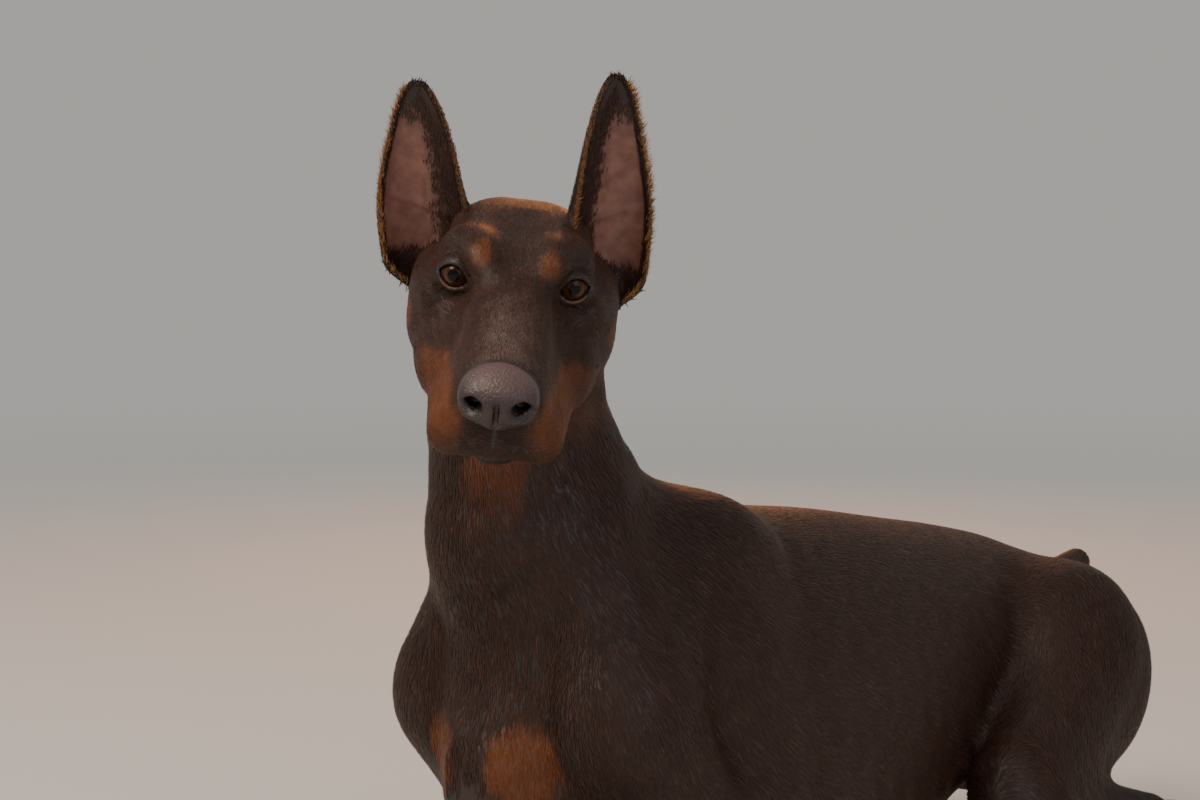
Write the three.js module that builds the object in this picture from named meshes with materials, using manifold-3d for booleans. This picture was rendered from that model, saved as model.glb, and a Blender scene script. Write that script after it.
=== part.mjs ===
// A doberman pinscher lying on its belly with its head up and turned to its left, life size,
// as a museum model. Millimetres: +X towards the forepaws, +Y to the dog's left, +Z up.
// The origin is on the floor under the middle of the brisket, the keel of the chest.
//
// Each form is a muscle or a bone that shows through the short coat, given as a distance field.
// The fields are blended, turned into closed surfaces and parted into the named pieces with thin cuts.

import * as THREE from "three";
import { mergeVertices } from "three/addons/utils/BufferGeometryUtils.js";
import Module from "manifold-3d";

const wasm = await Module();
wasm.setup();

// Driving dimensions
const GAP = 0.3; // between touching pieces
const BODY_CELL = 30; // mesh size on the smooth trunk and limbs
const NECK_CELL = 21;
const LIMB_CELL = 20;
const TAIL_CELL = 11;
const PAW_CELL = 10.5; // mesh size on the toes
const HEAD_CELL = 9.7; // mesh size on the head
const NOSE_CELL = 5; // mesh size on the nose leather
const FLOOR = 0;
const HEAD_BLEND = 26; // how softly the head runs into the neck

// The head turns on the atlas, the first joint of the neck.
const ATLAS = new THREE.Vector3(114, -5, 532);
const HEAD_YAW = 38.7; // degrees to the dog's left
const HEAD_PITCH = 20; // degrees with the nose down
const HEAD_ROLL = -7; // degrees with the left eye lower
const ATLAS_IN_HEAD = new THREE.Vector3(-98, 0, -24); // seen from the middle of the eye line

// Sections of the trunk, from the rump to the point of the chest:
// x, height of the back, height of the underline, half width, height of the widest place
const TRUNK = [
  [-582, 190, 150, 18, 170],
  [-556, 232, 100, 58, 165],
  [-512, 260, 70, 78, 165],
  [-450, 285, 66, 86, 170],
  [-378, 302, 80, 84, 190],
  [-295, 317, 60, 95, 180],
  [-205, 333, 12, 109, 160],
  [-110, 346, -5, 115, 150],
  [-30, 364, -5, 108, 150],
  [40, 350, 2, 93, 160],
  [100, 310, 38, 75, 178],
  [145, 262, 92, 50, 186],
  [172, 216, 158, 20, 190],
];

// The neck, from the chest to the skull: x, y, z of its middle, half depth fore and aft, half width
const NECK = [
  [48, -3, 262, 106, 82],
  [92, -8, 350, 88, 67],
  [112, -8, 420, 66, 58],
  [114, -4, 466, 57, 53],
  [113, -4, 500, 48, 49],
];

// Sections of the head along its own x, from the middle of the eye line towards the nose:
// x, top, bottom, half width at the top, half width at the bottom, corner radius
const SKULL = [
  [-126, 4, -34, 16, 20, 16],
  [-104, 16, -54, 32, 42, 20],
  [-70, 23.5, -64, 42, 58, 18],
  [-35, 25, -66, 42, 61, 18],
  [-5, 24, -63, 35, 57, 18],
  [24, 15.5, -57, 26, 49, 17],
];
const MUZZLE = [
  [-14, 20, -58, 26, 48, 18],
  [16, 13, -63, 23, 48, 18],
  [50, 7, -65, 22, 46, 19],
  [90, 1, -67, 21, 43.5, 19],
  [116, -4, -66, 19, 40, 14],
  [130, -12, -61, 13, 31, 11],
];
const LOWER_JAW = [
  [-62, -30, -90, 48, 29, 20],
  [-20, -36, -90, 48, 29, 20],
  [30, -44, -84, 38, 24, 18],
  [80, -53, -77, 29, 20, 13],
  [100, -57, -75.5, 22, 15, 10],
  [110, -60, -72, 15, 10, 7],
];

// The eyes: middle of the ball in the head's own frame, with the left one at +y
const EYE = new THREE.Vector3(-2, 35.5, 1);
const EYE_RADIUS = 11;
const LID = 2; // thickness of the lids over the ball
const GAZE_OUT = 16; // degrees that each eye looks outwards
const EYE_OPENING = { length: 20.5, upper: 8, lower: 6.6, slant: 6 };

// The left ear, in the head's frame: middle line from the base to the tip
const EAR_LINE = [
  [-70, 55, -44],
  [-72, 58, -2],
  [-75, 60, 36],
  [-78, 60.5, 72],
  [-78, 62, 105],
];
const EAR_OPENS = { left: 36, right: 16 }; // degrees outwards from straight ahead
// The cup of the ear, up from its base: share of its height, half width of its outer and of its inner
// half, depth, and how far round the inner and the outer edge reach, in degrees
const EAR_CUP = [
  [0, 5, 16, 9, 105, 95],
  [0.1, 22.5, 31, 21, 105, 94],
  [0.2, 25.5, 37, 24, 105, 92],
  [0.42, 27.5, 34, 18, 100, 88],
  [0.62, 23.5, 26, 11, 92, 86],
  [0.8, 17.5, 18.5, 6, 88, 86],
  [0.9, 13, 13.5, 4, 86, 86],
  [0.97, 8, 8, 2.5, 86, 86],
  [1, 4, 4, 1.5, 86, 86],
];
const EAR_THICK = 4.8; // at the base; the edges are thinner
const EAR_EDGE = 3.4;
// How far outwards each ear's tip leans, and the share of its full height that the ear reaches
const EAR_LEAN = { left: -13, right: 13 };
const EAR_REACH = { left: 1.058, right: 0.928 };

const FORE_PAW = new THREE.Vector3(262, 90, 0);
const HIND_PAW = new THREE.Vector3(-396, 140, 0);
const TOE_SIDES = [-23, -8, 8, 23]; // how far each toe lies from the middle of the paw
const OUTER_TOE = 15; // a toe farther out than this is shorter
const CLAW = { length: 24, drop: 12, radius: 4.6, rings: 4, sides: 6 };
const EYE_SLOT = 40; // how far ahead of the eye its opening is cut
const EAR_NET = { tall: 12, round: 8 }; // mesh counts up and round the ear

// Blends of fields

const smallest = (a, b, blend) => {
  const h = Math.max(blend - Math.abs(a - b), 0) / blend;
  return Math.min(a, b) - (h * h * blend) / 4;
};
const largest = (a, b, blend) => -smallest(-a, -b, blend);

// Values of a table at x, by a smooth curve through its rows
function along(rows, x) {
  const last = rows.length - 1;
  const at = Math.min(Math.max(x, rows[0][0]), rows[last][0]);
  let i = 0;
  while (i < last - 1 && at > rows[i + 1][0]) i += 1;
  const [a, b] = [rows[i], rows[i + 1]];
  const width = b[0] - a[0];
  const t = (at - a[0]) / width;
  const slope = (row, column) => {
    const before = rows[Math.max(row - 1, 0)];
    const after = rows[Math.min(row + 1, last)];
    return (after[column] - before[column]) / (after[0] - before[0]);
  };
  return a.slice(1).map((value, column) => {
    const c = column + 1;
    const rise = b[c] - value;
    const start = slope(i, c) * width;
    const end = slope(i + 1, c) * width;
    return value + t * (start + t * (3 * rise - 2 * start - end + t * (start + end - 2 * rise)));
  });
}

// A limb: a rounded bar from a to b with a radius at each end, flattened sideways by the factor wide
function limb(a, b, from, to, wide = 1) {
  const [ax, ay, az] = a;
  const [dx, dy, dz] = [b[0] - ax, b[1] - ay, b[2] - az];
  const squared = dx * dx + dy * dy + dz * dz;
  return (x, y, z) => {
    const t = Math.min(Math.max(((x - ax) * dx + (y - ay) * dy + (z - az) * dz) / squared, 0), 1);
    const off = Math.hypot(x - ax - t * dx, (y - ay - t * dy) / wide, z - az - t * dz);
    return (off - from - t * (to - from)) * Math.min(wide, 1);
  };
}

function ball(centre, radius) {
  const [cx, cy, cz] = centre;
  return (x, y, z) => Math.hypot(x - cx, y - cy, z - cz) - radius;
}

function egg(centre, radii) {
  const [cx, cy, cz] = centre;
  const [rx, ry, rz] = radii;
  return (x, y, z) => {
    const near = Math.hypot((x - cx) / rx, (y - cy) / ry, (z - cz) / rz);
    const steep = Math.hypot((x - cx) / rx ** 2, (y - cy) / ry ** 2, (z - cz) / rz ** 2);
    return steep > 0 ? (near * (near - 1)) / steep : -Math.min(rx, ry, rz);
  };
}

// The trunk: an egg-shaped section at each place along the back
function trunk(x, y, z) {
  const [top, bottom, half, widest] = along(TRUNK, x);
  const across = Math.abs(y) / half;
  const up = z > widest ? (z - widest) / (top - widest) : (widest - z) / (widest - bottom);
  const power = 2.25;
  const share = (across ** power + up ** power) ** (1 / power);
  const off = Math.hypot(y, z - widest);
  const inSection = share > 0.02 ? off * (1 - 1 / share) : -half;
  const beyond = Math.max(TRUNK[0][0] - x, x - TRUNK[TRUNK.length - 1][0], 0);
  return beyond > 0 ? Math.hypot(Math.max(inSection, 0), beyond) : inSection;
}

// The neck: rounded bars between its sections, deeper fore and aft than wide
function neck(x, y, z) {
  let nearest = Infinity;
  for (let i = 0; i + 1 < NECK.length; i += 1) {
    const [ax, ay, az, deepA, wideA] = NECK[i];
    const [bx, by, bz, deepB, wideB] = NECK[i + 1];
    const [dx, dy, dz] = [bx - ax, by - ay, bz - az];
    const squared = dx * dx + dy * dy + dz * dz;
    const t = Math.min(Math.max(((x - ax) * dx + (y - ay) * dy + (z - az) * dz) / squared, 0), 1);
    const deep = deepA + t * (deepB - deepA);
    const wide = wideA + t * (wideB - wideA);
    const sideways = ((y - ay - t * dy) * deep) / wide;
    const off = Math.hypot(x - ax - t * dx, sideways, z - az - t * dz);
    nearest = Math.min(nearest, (off - deep) * (wide / deep));
  }
  return nearest;
}

// A rounded bar whose section is a trapezium with soft corners, as a skull or a muzzle has
function wedge(rows) {
  const [front, back] = [rows[rows.length - 1][0], rows[0][0]];
  return (x, y, z) => {
    const [top, bottom, halfTop, halfBottom, soft] = along(rows, x);
    const height = top - bottom;
    const share = Math.min(Math.max((z - bottom) / height, 0), 1);
    const half = halfBottom + share * (halfTop - halfBottom);
    const slant = height / Math.hypot(height, halfBottom - halfTop);
    const sideways = (Math.abs(y) - half) * slant + soft;
    const upright = Math.abs(z - (top + bottom) / 2) - height / 2 + soft;
    const lengthways = Math.max(back - x, x - front) + soft;
    const out = Math.hypot(Math.max(sideways, 0), Math.max(upright, 0), Math.max(lengthways, 0));
    return out + Math.min(Math.max(sideways, upright, lengthways), 0) - soft;
  };
}

const bothSides = (field) => (x, y, z) => field(x, Math.abs(y), z);

// Blends a list of [field, softness] in turn
const blended = (parts) => (x, y, z) => {
  let out = parts[0][0](x, y, z);
  for (const [field, soft] of parts.slice(1)) out = smallest(out, field(x, y, z), soft);
  return out;
};

// Muscles and bones of the trunk and limbs, with the left limbs at +y
const shoulderAndArm = [
  [limb([-36, 44, 316], [94, 73, 236], 36, 42, 0.8), 34],
  [limb([98, 38, 350], [98, 69, 250], 24, 36), 40],
  [limb([100, 76, 222], [-14, 95, 78], 41, 37), 26],
  [limb([-14, 78, 250], [-40, 96, 92], 40, 36, 0.8), 26],
  [ball([-38, 101, 50], 28), 18],
  [limb([-24, 102, 37], [105, 97, 26], 38, 27), 16],
  [limb([105, 97, 26], [205, 92, 20], 27, 21), 12],
  [ball([208, 91, 22], 23), 10],
  [limb([208, 91, 22], [268, 90, 24], 19, 22), 10],
];
const thighAndHock = [
  [egg([-476, 72, 184], [82, 54, 78]), 40],
  [limb([-462, 92, 166], [-316, 132, 108], 80, 52, 0.66), 34],
  [limb([-314, 136, 88], [-500, 140, 48], 45, 28, 0.85), 16],
  [ball([-528, 139, 38], 21), 12],
  [ball([-550, 138, 46], 14), 12],
  [limb([-524, 139, 18], [-400, 140, 18], 20, 19), 10],
];
const tailBar = limb([-545, 0, 220], [-626, 0, 240], 21, 13);

const trunkAndLimbs = blended([
  [trunk, 0],
  [neck, 44],
  ...shoulderAndArm.map(([field, soft]) => [bothSides(field), soft]),
  ...thighAndHock.map(([field, soft]) => [bothSides(field), soft]),
  [tailBar, 18],
]);

// A paw, from the wrist or the rear pastern at its own x = 0 forwards: four arched toes on a broad pad
function paw(x, y, z) {
  let out = limb([-6, 0, 27], [20, 0, 25], 22, 21, 1.12)(x, y, z);
  out = smallest(out, egg([34, 0, 9], [20, 21, 11])(x, y, z), 10);
  for (const side of TOE_SIDES) {
    const outer = Math.abs(side) > OUTER_TOE ? 1 : 0;
    const knuckle = [41 - 9 * outer, side * 1.02, 31 - 4 * outer];
    const end = [67 - 12 * outer, side * 1.1, 10];
    const toe = smallest(
      limb([14, side * 0.7, 26], knuckle, 12, 11.6)(x, y, z),
      limb(knuckle, end, 11.6, 10.6)(x, y, z),
      5,
    );
    out = smallest(out, toe, 3.5);
  }
  return out;
}
const pawAt = (place) => (x, y, z) => paw(x - place.x, Math.abs(y) - place.y, z - place.z);

// The head in its own frame
const skull = wedge(SKULL);
const muzzle = wedge(MUZZLE);
const lowerJaw = wedge(LOWER_JAW);
const cheek = bothSides(egg([-48, 51, -44], [38, 17, 32]));
const cheekBone = bothSides(limb([0, 47, -17], [-72, 54, -24], 9, 8));
const lowerCheek = bothSides(egg([10, 42, -54], [34, 13, 17]));
const brow = bothSides(limb([4, 23, 13], [-16, 37, 13], 12, 10));
const lidBall = bothSides(ball([EYE.x, EYE.y, EYE.z], EYE_RADIUS + LID));
const orbit = bothSides(egg([18, 39, -1], [15, 12, 12]));
const hollowUnderEye = bothSides(egg([38, 50, -14], [30, 14, 13]));
const forehead = limb([14, 0, 30], [-50, 0, 40], 9, 9);
const flew = bothSides(limb([34, 33, -55], [106, 28, -55], 12.5, 11.5));
const chin = egg([100, 0, -70], [10, 12, 6.5]);

function headForm(x, y, z) {
  let out = smallest(skull(x, y, z), muzzle(x, y, z), 22);
  out = smallest(out, cheek(x, y, z), 16);
  out = smallest(out, cheekBone(x, y, z), 20);
  out = smallest(out, lowerCheek(x, y, z), 18);
  out = smallest(out, brow(x, y, z), 18);
  out = largest(out, -forehead(x, y, z), 16);
  out = largest(out, -hollowUnderEye(x, y, z), 18);
  out = largest(out, -orbit(x, y, z), 14);
  out = smallest(out, lidBall(x, y, z), 8);
  out = smallest(out, flew(x, y, z), 10);
  out = smallest(out, lowerJaw(x, y, z), 5);
  return smallest(out, chin(x, y, z), 6);
}

const HEAD_PLACE = new THREE.Matrix4()
  .makeTranslation(ATLAS)
  .multiply(new THREE.Matrix4().makeRotationZ(THREE.MathUtils.degToRad(HEAD_YAW)))
  .multiply(new THREE.Matrix4().makeRotationY(THREE.MathUtils.degToRad(HEAD_PITCH)))
  .multiply(new THREE.Matrix4().makeRotationX(THREE.MathUtils.degToRad(HEAD_ROLL)))
  .multiply(new THREE.Matrix4().makeTranslation(ATLAS_IN_HEAD.clone().negate()));
const INTO_HEAD = HEAD_PLACE.clone().invert();

const turned = (matrix, field) => {
  const m = matrix.elements;
  return (x, y, z) =>
    field(
      m[0] * x + m[4] * y + m[8] * z + m[12],
      m[1] * x + m[5] * y + m[9] * z + m[13],
      m[2] * x + m[6] * y + m[10] * z + m[14],
    );
};
const headInRow = turned(INTO_HEAD, headForm);
const neckFromHead = turned(HEAD_PLACE, trunkAndLimbs);
const NECK_END = -150; // where the head's own mesh stops, below the cut, in the head's frame
const headAndNeck = (x, y, z) =>
  Math.max(smallest(headForm(x, y, z), neckFromHead(x, y, z), HEAD_BLEND), NECK_END - z);
const bodyAndHead = (x, y, z) => smallest(trunkAndLimbs(x, y, z), headInRow(x, y, z), HEAD_BLEND);

// The closed surface where a field is zero, by surface nets, each vertex then drawn onto the surface
function net(field, low, high, cell) {
  const count = low.map((edge, axis) => Math.ceil((high[axis] - edge) / cell) + 1);
  const step = [1, count[0], count[0] * count[1]];
  const place = (i, j, k) => [low[0] + i * cell, low[1] + j * cell, low[2] + k * cell];
  const values = new Float32Array(step[2] * count[2]);
  for (let k = 0; k < count[2]; k += 1)
    for (let j = 0; j < count[1]; j += 1)
      for (let i = 0; i < count[0]; i += 1)
        values[i * step[0] + j * step[1] + k * step[2]] = field(...place(i, j, k));

  const corners = [0, 1, 2, 3, 4, 5, 6, 7].map((c) => [c & 1, (c >> 1) & 1, (c >> 2) & 1]);
  const edges = [];
  for (let a = 0; a < 8; a += 1)
    for (let axis = 0; axis < 3; axis += 1) if (!(a & (1 << axis))) edges.push([a, a | (1 << axis), axis]);
  // Numbers the groups of joined corners of a cell: outer corners also join across a face.
  const groups = (value, inner) => {
    const group = new Array(8).fill(-1);
    for (let first = 0; first < 8; first += 1) {
      if (group[first] >= 0 || value[first] < 0 !== inner) continue;
      const queue = [first];
      group[first] = first;
      while (queue.length) {
        const here = queue.pop();
        for (let next = 0; next < 8; next += 1) {
          if (group[next] >= 0 || value[next] < 0 !== inner) continue;
          const apart = ((here ^ next) & 1) + (((here ^ next) >> 1) & 1) + (((here ^ next) >> 2) & 1);
          if (apart > (inner ? 1 : 2)) continue;
          group[next] = first;
          queue.push(next);
        }
      }
    }
    return group;
  };

  const vertexOf = new Map();
  const positions = [];
  const draw = (point) => {
    const reach = cell * 0.08;
    for (let turn = 0; turn < 4; turn += 1) {
      const here = field(...point);
      const slope = point.map((_, axis) => {
        const [ahead, behind] = [point.slice(), point.slice()];
        ahead[axis] += reach;
        behind[axis] -= reach;
        return (field(...ahead) - field(...behind)) / (2 * reach);
      });
      const steep = Math.max(slope[0] ** 2 + slope[1] ** 2 + slope[2] ** 2, 0.2);
      const move = Math.min(Math.max(here / steep, -cell * 0.3), cell * 0.3);
      for (let axis = 0; axis < 3; axis += 1) point[axis] -= move * slope[axis];
    }
    return point;
  };
  for (let k = 0; k + 1 < count[2]; k += 1)
    for (let j = 0; j + 1 < count[1]; j += 1)
      for (let i = 0; i + 1 < count[0]; i += 1) {
        const base = i * step[0] + j * step[1] + k * step[2];
        const value = corners.map(([a, b, c]) => values[base + a * step[0] + b * step[1] + c * step[2]]);
        const inside = value.filter((f) => f < 0).length;
        if (inside === 0 || inside === 8) continue;
        // Each sheet of the surface that passes through the cell gets a vertex of its own.
        const [inner, outer] = [groups(value, true), groups(value, false)];
        const sheets = new Map();
        for (const [a, b, axis] of edges) {
          if (value[a] < 0 === value[b] < 0) continue;
          const [low8, high8] = value[a] < 0 ? [a, b] : [b, a];
          const sheet = inner[low8] * 8 + outer[high8];
          if (!sheets.has(sheet)) sheets.set(sheet, { sum: [0, 0, 0], keys: [] });
          const entry = sheets.get(sheet);
          const t = value[a] / (value[a] - value[b]);
          for (let c = 0; c < 3; c += 1) entry.sum[c] += corners[a][c] + t * (corners[b][c] - corners[a][c]);
          entry.keys.push(base * 24 + a * 3 + axis);
        }
        const index = [i, j, k];
        for (const { sum, keys } of sheets.values()) {
          const point = sum.map((s, axis) => low[axis] + (index[axis] + s / keys.length) * cell);
          for (const key of keys) vertexOf.set(key, positions.length / 3);
          positions.push(...draw(point));
        }
      }

  const faces = [];
  const corner = (v) => new THREE.Vector3(positions[3 * v], positions[3 * v + 1], positions[3 * v + 2]);
  for (let k = 1; k + 1 < count[2]; k += 1)
    for (let j = 1; j + 1 < count[1]; j += 1)
      for (let i = 1; i + 1 < count[0]; i += 1) {
        const base = i * step[0] + j * step[1] + k * step[2];
        for (let axis = 0; axis < 3; axis += 1) {
          const [here, next] = [values[base], values[base + step[axis]]];
          if (here < 0 === next < 0) continue;
          const [u, v] = [(axis + 1) % 3, (axis + 2) % 3];
          const ring = [[1, 1], [0, 1], [0, 0], [1, 0]].map(([a, b]) => {
            const cellBase = base - a * step[u] - b * step[v];
            return vertexOf.get(cellBase * 24 + ((a << u) | (b << v)) * 3 + axis);
          });
          if (here >= 0) ring.reverse();
          const [a, b, c, d] = ring;
          if (corner(a).distanceTo(corner(c)) < corner(b).distanceTo(corner(d)))
            faces.push(a, b, c, a, c, d);
          else faces.push(a, b, d, b, c, d);
        }
      }
  const geometry = new THREE.BufferGeometry();
  geometry.setAttribute("position", new THREE.Float32BufferAttribute(positions, 3));
  geometry.setIndex(faces);
  return geometry;
}

// Solids to join and cut

function solidOf(geometry, matrix = null) {
  const plain = geometry.clone();
  for (const name of Object.keys(plain.attributes)) if (name !== "position") plain.deleteAttribute(name);
  if (matrix) plain.applyMatrix4(matrix);
  const merged = mergeVertices(plain, 1e-4);
  return new wasm.Manifold(
    new wasm.Mesh({
      numProp: 3,
      vertProperties: new Float32Array(merged.attributes.position.array),
      triVerts: new Uint32Array(merged.index.array),
    }),
  );
}

// Each edge of a closed surface is used once in each direction.
function isClosed(faces, corners) {
  const used = new Set();
  for (let i = 0; i < faces.length; i += 3)
    for (let c = 0; c < 3; c += 1) {
      const edge = faces[i + c] * corners + faces[i + ((c + 1) % 3)];
      if (used.has(edge)) return false;
      used.add(edge);
    }
  return [...used].every((edge) => used.has((edge % corners) * corners + Math.floor(edge / corners)));
}

// Where two folds lie inside one cell the net can pinch, so its grid is moved until it doesn't.
const SHIFTS = 10;
function surface(field, low, high, cell) {
  for (let turn = 0; turn < SHIFTS; turn += 1) {
    const start = low.map((edge, axis) => edge - turn * cell * [0.13, 0.29, 0.21][axis]);
    const geometry = net(field, start, high, cell);
    if (isClosed(geometry.index.array, geometry.attributes.position.count)) return geometry;
  }
  throw new Error("the surface pinches on every grid");
}

function geometryOf(solid) {
  const mesh = solid.getMesh();
  const geometry = new THREE.BufferGeometry();
  const positions = [];
  for (let v = 0; v < mesh.vertProperties.length; v += mesh.numProp)
    positions.push(...mesh.vertProperties.slice(v, v + 3));
  geometry.setAttribute("position", new THREE.Float32BufferAttribute(positions, 3));
  geometry.setIndex(Array.from(mesh.triVerts));
  geometry.computeVertexNormals();
  return geometry;
}

// The largest closed body of a solid
const mainBody = (solid) =>
  solid.decompose().reduce((best, body) => (body.volume() > best.volume() ? body : best));

const box = (low, high) => {
  const size = high.map((edge, axis) => edge - low[axis]);
  const middle = high.map((edge, axis) => (edge + low[axis]) / 2);
  return solidOf(new THREE.BoxGeometry(...size), new THREE.Matrix4().makeTranslation(...middle));
};

const FAR = 2000;
const underFloor = box([-FAR, -FAR, -FAR], [FAR, FAR, FLOOR]);

// A half space as a thick slab whose face passes through a point, on the side that the normal leaves
function beyondPlane(point, normal, shift = 0) {
  const turn = new THREE.Quaternion().setFromUnitVectors(
    new THREE.Vector3(0, 0, 1),
    normal.clone().normalize(),
  );
  const middle = point.clone().add(normal.clone().normalize().multiplyScalar(FAR / 2 + shift));
  const place = new THREE.Matrix4().compose(middle, turn, new THREE.Vector3(1, 1, 1));
  return solidOf(new THREE.BoxGeometry(FAR, FAR, FAR), place);
}

// The two sides of a thin cut
const parted = (solid, point, normal) => ({
  near: solid.subtract(beyondPlane(point, normal, -GAP / 2)),
  far: solid.intersect(beyondPlane(point, normal, GAP / 2)),
});

// The left limb's share of the body: a side-view outline, drawn out sideways from an inner wall.
// With a spread it reaches that much farther in, and twice as much farther from its middle in side view.
function limbRegion(outline, innerWall, spread) {
  const corners = outline.map(([x, z]) => new THREE.Vector2(x, z));
  const middle = corners
    .reduce((sum, corner) => sum.add(corner), new THREE.Vector2())
    .divideScalar(corners.length);
  for (const corner of corners) corner.add(corner.clone().sub(middle).setLength(2 * spread));
  const shape = new THREE.Shape(corners);
  const reach = 400;
  const geometry = new THREE.ExtrudeGeometry(shape, { depth: reach, bevelEnabled: false });
  // The shape's x and y become the body's x and z, and its depth runs to the dog's right.
  const upright = new THREE.Matrix4().makeRotationX(Math.PI / 2);
  const shift = new THREE.Matrix4().makeTranslation(0, innerWall - spread + reach, 0);
  return solidOf(geometry, shift.multiply(upright));
}

// Body surface and its parts

const at = (x, y, z) => new THREE.Vector3(x, y, z);

const trunkSurface = solidOf(surface(bodyAndHead, [-700, -235, -30], [350, 250, 640], BODY_CELL));
const headGeometry = surface(headAndNeck, [-170, -110, NECK_END - 15], [160, 110, 80], HEAD_CELL);
const headSurface = solidOf(headGeometry, HEAD_PLACE);

// The same surface moved outwards, to cut a neighbour clear of it
function grown(geometry, by) {
  const moved = mergeVertices(geometry.clone(), 1e-4);
  moved.computeVertexNormals();
  const { position, normal } = moved.attributes;
  for (let i = 0; i < position.count; i += 1)
    position.setXYZ(
      i,
      position.getX(i) + by * normal.getX(i),
      position.getY(i) + by * normal.getY(i),
      position.getZ(i) + by * normal.getZ(i),
    );
  moved.deleteAttribute("normal");
  return moved;
}

// Cuts between the parts
const HEAD_CUT = {
  point: at(-112, 0, -5).applyMatrix4(HEAD_PLACE),
  normal: at(-0.86, 0, -0.51).transformDirection(HEAD_PLACE),
};
const NECK_CUT = { point: at(66, 0, 322), normal: at(0.654, 0, 0.756) };
const FORELEG_OUTLINE = [
  [-88, -40],
  [-90, 120],
  [-62, 205],
  [-10, 262],
  [62, 266],
  [124, 238],
  [158, 190],
  [150, 120],
  [170, 84],
  [330, 84],
  [330, -40],
];
const HINDLEG_OUTLINE = [
  [-628, -40],
  [-628, 100],
  [-574, 196],
  [-508, 244],
  [-418, 240],
  [-320, 210],
  [-250, 168],
  [-230, 90],
  [-258, -40],
];
const FORELEG_WALL = 66; // how far from the middle of the body the foreleg parts from the chest
const HINDLEG_WALL = 76;
const NECK_BOX = [[-90, -110, 190], [200, 120, 640]];
const TAIL_AREA = [[-660, -45, 180], [-540, 45, 280]];
const FORELEG_AREA = [[-120, 46, -20], [300, 180, 296]];
const HINDLEG_AREA = [[-650, 54, -20], [-200, 216, 270]];
const TAIL_BOX = [[-760, -60, 200], [-562, 60, 300]];
const FORE_PAW_BOX = [[264, 40, -40], [400, 150, 84]];
const HIND_PAW_BOX = [[-400, 92, -40], [-290, 192, 52]];

const spreadBox = ([low, high], by) => box(low.map((edge) => edge - by), high.map((edge) => edge + by));
const SIDES = [
  ["left", (solid) => solid],
  ["right", (solid) => solid.mirror([0, 1, 0])],
];

// The body's own surface inside a box, on a finer net than the trunk's
function closeUp([low, high], cell) {
  const inBox = (x, y, z) => {
    const outside = [x, y, z].map((value, axis) => Math.max(low[axis] - value, value - high[axis]));
    return Math.max(bodyAndHead(x, y, z), ...outside);
  };
  return solidOf(surface(inBox, low.map((edge) => edge - cell), high.map((edge) => edge + cell), cell));
}

const standing = trunkSurface.subtract(underFloor);
const onTrunk = parted(standing, NECK_CUT.point, NECK_CUT.normal);
const neckSolid = parted(closeUp(NECK_BOX, NECK_CELL), NECK_CUT.point, NECK_CUT.normal).far.subtract(
  beyondPlane(HEAD_CUT.point, HEAD_CUT.normal.clone().negate(), -GAP / 2),
);
let trunkSolid = onTrunk.near.subtract(spreadBox(TAIL_BOX, GAP));
const tailSolid = closeUp(TAIL_AREA, TAIL_CELL).intersect(spreadBox(TAIL_BOX, 0));

const parts = [];
for (const [name, outline, wall, area, pawBox] of [
  ["foreleg", FORELEG_OUTLINE, FORELEG_WALL, FORELEG_AREA, FORE_PAW_BOX],
  ["hindleg", HINDLEG_OUTLINE, HINDLEG_WALL, HINDLEG_AREA, HIND_PAW_BOX],
]) {
  const leg = closeUp(area, LIMB_CELL)
    .subtract(underFloor)
    .intersect(limbRegion(outline, wall, 0))
    .subtract(spreadBox(pawBox, GAP))
    .subtract(spreadBox(TAIL_BOX, GAP));
  for (const [word, onSide] of SIDES) {
    parts.push([`${name}_${word}`, onSide(leg), "coat"]);
    trunkSolid = trunkSolid.subtract(onSide(limbRegion(outline, wall, GAP)));
  }
}

// Paws and claws
function claw(root) {
  const { length, drop, radius, rings, sides } = CLAW;
  const tip = at(root.x + length * 0.86, root.y, Math.max(root.z - drop, 1.5));
  const bend = at(root.x + length * 0.62, root.y, root.z + 1.5);
  const path = new THREE.QuadraticBezierCurve3(root.clone(), bend, tip);
  const positions = [];
  for (let i = 0; i < rings; i += 1) {
    const middle = path.getPoint(i / rings);
    const size = radius * (1 - (i / rings) ** 1.6);
    for (let j = 0; j < sides; j += 1) {
      const turn = (2 * Math.PI * j) / sides;
      positions.push(middle.x, middle.y + 0.75 * size * Math.cos(turn), middle.z + size * Math.sin(turn));
    }
  }
  positions.push(...path.getPoint(1).toArray(), ...root.toArray());
  const [tipAt, rootAt] = [rings * sides, rings * sides + 1];
  const faces = [];
  for (let j = 0; j < sides; j += 1) {
    const next = (j + 1) % sides;
    for (let i = 0; i + 1 < rings; i += 1) {
      const [a, b] = [i * sides + j, i * sides + next];
      faces.push(a, b, b + sides, a, b + sides, a + sides);
    }
    const last = (rings - 1) * sides;
    faces.push(last + j, last + next, tipAt, next, j, rootAt);
  }
  const geometry = new THREE.BufferGeometry();
  geometry.setAttribute("position", new THREE.Float32BufferAttribute(positions, 3));
  geometry.setIndex(faces);
  return geometry;
}

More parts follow.
